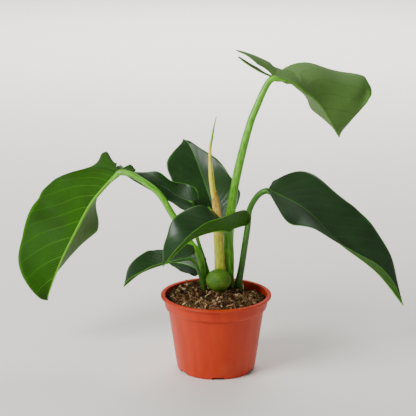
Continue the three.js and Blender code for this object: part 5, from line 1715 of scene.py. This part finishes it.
corner = add(turned_tree, "GeometryNodeSampleIndex", {"data_type": "FLOAT_VECTOR", "domain": "POINT"}, {
    "Geometry": given["Geometry"], "Value": place, "Index": row})
swung = add(turned_tree, "ShaderNodeVectorRotate", {"rotation_type": "Z_AXIS"}, {"Vector": corner, "Angle": turn})
turned = add(turned_tree, "GeometryNodeSetPosition", inputs={"Geometry": sheet, "Position": swung})
shell = add(turned_tree, "GeometryNodeMergeByDistance", inputs={"Geometry": turned, "Distance": MERGE_DISTANCE})


def ring_of(tree, count, radius, start, cutter):
    """A cutter repeated on a circle, each turned to face outwards."""
    circle = add(tree, "GeometryNodeMeshCircle", inputs={"Vertices": count, "Radius": radius})
    step = add(tree, "ShaderNodeMath", {"operation": "DIVIDE"}, {0: 2 * math.pi, 1: count})
    index = add(tree, "GeometryNodeInputIndex")
    angle = add(tree, "ShaderNodeMath", {"operation": "MULTIPLY"}, {0: index, 1: step})
    facing, started = (add(tree, "ShaderNodeCombineXYZ", inputs={2: value}) for value in (angle, start))
    face_turn, start_turn = (add(tree, "FunctionNodeEulerToRotation", inputs={0: euler}) for euler in (facing, started))
    placed = add(tree, "GeometryNodeInstanceOnPoints", inputs={
        "Points": circle, "Instance": cutter, "Rotation": face_turn})
    spun = add(tree, "GeometryNodeTransform", inputs={"Geometry": placed, "Rotation": start_turn})
    return add(tree, "GeometryNodeRealizeInstances", inputs={0: spun})


notch = add(turned_tree, "GeometryNodeMeshCube", inputs={"Size": given["Notch size"]})
notches = ring_of(turned_tree, given["Notches"], given["Foot radius"], given["First notch"], notch)
hole_height = add(turned_tree, "ShaderNodeMath", {"operation": "MULTIPLY"}, {0: given["Wall"], 1: 5.0})
hole = add(turned_tree, "GeometryNodeMeshCylinder", inputs={
    "Vertices": 32, "Radius": given["Drain radius"], "Depth": hole_height})
raise_hole = add(turned_tree, "ShaderNodeCombineXYZ", inputs={2: given["Floor height"]})
hole_up = add(turned_tree, "GeometryNodeTransform", inputs={"Geometry": hole, "Translation": raise_hole})
half_step = add(turned_tree, "ShaderNodeMath", {"operation": "DIVIDE"}, {0: math.pi, 1: given["Drains"]})
holes = ring_of(turned_tree, given["Drains"], given["Drain circle"], half_step, hole_up)
cut = {"operation": "DIFFERENCE", "solver": "EXACT"}
notched = add(turned_tree, "GeometryNodeMeshBoolean", cut, {"Mesh 1": shell, "Mesh 2": notches})
drained = add(turned_tree, "GeometryNodeMeshBoolean", cut, {"Mesh 1": notched, "Mesh 2": holes})

# The plastic is smooth all over, and crisp only where it is cut.
soft = add(turned_tree, "GeometryNodeSetShadeSmooth", inputs={"Geometry": drained, "Shade Smooth": True})
bend = add(turned_tree, "GeometryNodeInputMeshEdgeAngle")
is_crisp = add(turned_tree, "FunctionNodeCompare", {"data_type": "FLOAT", "operation": "GREATER_THAN"}, {
    0: bend, 1: CRISP_ANGLE})
crisp = add(turned_tree, "GeometryNodeSetShadeSmooth", {"domain": "EDGE"}, {
    "Geometry": soft, "Selection": is_crisp, "Shade Smooth": False})
close_tree(turned_tree, crisp, given["Plastic"])

# %% [markdown]
# The plastic is an even warm red with a satin face. It is thin, so a little light glows through
# it. The draw leaves faint streaks that run down, potting leaves dusty smears, and water leaves
# pale marks low down. One plain colour would do from afar, but these marks are what tells a used
# pot from a new one, so they are painted very faintly over it.

# %% Paint for the pot
DRAW_MM, DRAW_SQUASH = 11.11, 0.12
GRAIN_MM = 0.625
SMEAR_MM = 35.7
WATER_MARK_MM = 30
POT_RELIEF = 0.6
RED_GLOW = (1.0, 0.3, 0.15)

# Drawn plastic sheet: its satin face gives broad soft lights and no sharp mirror image.
drawn_plastic, tree, shader = new_material("drawn_plastic_sheet")
place = add(tree, "ShaderNodeTexCoord").outputs["Object"]
tall = add(tree, "ShaderNodeMapping", inputs={"Vector": place, "Scale": (1.0, 1.0, DRAW_SQUASH)})
draws = add(tree, "ShaderNodeTexNoise", inputs={"Vector": tall, "Scale": 1 / (DRAW_MM * MM), "Detail": 3.0})
grain = add(tree, "ShaderNodeTexNoise", inputs={"Vector": place, "Scale": 1 / (GRAIN_MM * MM), "Detail": 2.0})
smears = add(tree, "ShaderNodeTexNoise", inputs={
    "Vector": place, "Scale": 1 / (SMEAR_MM * MM), "Detail": 6.0, "Roughness": 0.65})
height = add(tree, "ShaderNodeSeparateXYZ", inputs={0: place}).outputs["Z"]
draw_share = add(tree, "ShaderNodeMapRange", EASED, {0: draws, **MOST_NOISE})
plastic = add(tree, "ShaderNodeMix", COLOURS, {0: draw_share, 6: linear("#b42c02"), 7: linear("#c03505")})
dust = add(tree, "ShaderNodeMapRange", EASED, {0: smears, 1: 0.56, 2: 0.78, 4: 0.1})
dusty = add(tree, "ShaderNodeMix", COLOURS, {0: dust, 6: plastic, 7: linear("#c9704a")})
low_down = add(tree, "ShaderNodeMapRange", EASED, {0: height, 2: WATER_MARK_MM * MM, 3: 1.0, 4: 0.0})
stains = add(tree, "ShaderNodeMapRange", EASED, {0: smears, 1: 0.45, 2: 0.7, 4: 0.12})
water_share = add(tree, "ShaderNodeMath", {"operation": "MULTIPLY"}, {0: low_down, 1: stains})
watered = add(tree, "ShaderNodeMix", COLOURS, {0: water_share, 6: dusty, 7: linear("#cf8a6c")})
gloss = add(tree, "ShaderNodeMapRange", inputs={0: smears, 1: 0.3, 2: 0.75, 3: 0.4, 4: 0.5})
relief = add(tree, "ShaderNodeMath", {"operation": "MULTIPLY_ADD"}, {0: grain, 1: 0.12, 2: draws})
bump = add(tree, "ShaderNodeBump", inputs={"Strength": 0.1, "Distance": POT_RELIEF * MM, "Height": relief})
feed(tree, shader, {
    "Base Color": watered, "Roughness": gloss, "Normal": bump, "IOR": 1.5, "Specular IOR Level": 0.32,
    "Subsurface Weight": 0.06, "Subsurface Radius": RED_GLOW, "Subsurface Scale": 2 * MM})
print("Nodes in the plastic:", len(tree.nodes))

# %% Turn the pot
POT_SIDES = 145
NOTCHES, NOTCH_WIDTH, NOTCH_RISE, FIRST_NOTCH = 6, 14, 5.8, -87
DRAINS, DRAIN_RADIUS, DRAIN_CIRCLE = 6, 3.5, 30

outline_mesh = bpy.data.meshes.new("pot_outline")
outline_mesh.from_pydata([(r * MM, 0, z * MM) for r, z in outline], [(i, i + 1) for i in range(len(outline) - 1)], [])
pot_mesh = run_tree(turned_tree, outline_mesh, {
    "Points": len(outline), "Sides": POT_SIDES, "Foot radius": FOOT_RADIUS * MM, "Notches": NOTCHES,
    "Notch size": (3 * FOOT_RING_WIDTH * MM, NOTCH_WIDTH * MM, NOTCH_RISE * MM),
    "First notch": math.radians(FIRST_NOTCH), "Drains": DRAINS, "Drain radius": DRAIN_RADIUS * MM,
    "Drain circle": DRAIN_CIRCLE * MM, "Wall": POT_WALL * MM, "Floor height": CHANNEL_HEIGHT * MM,
    "Plastic": drawn_plastic})
finished("pot_shell", pot_mesh, "pot_plastic", "pot")
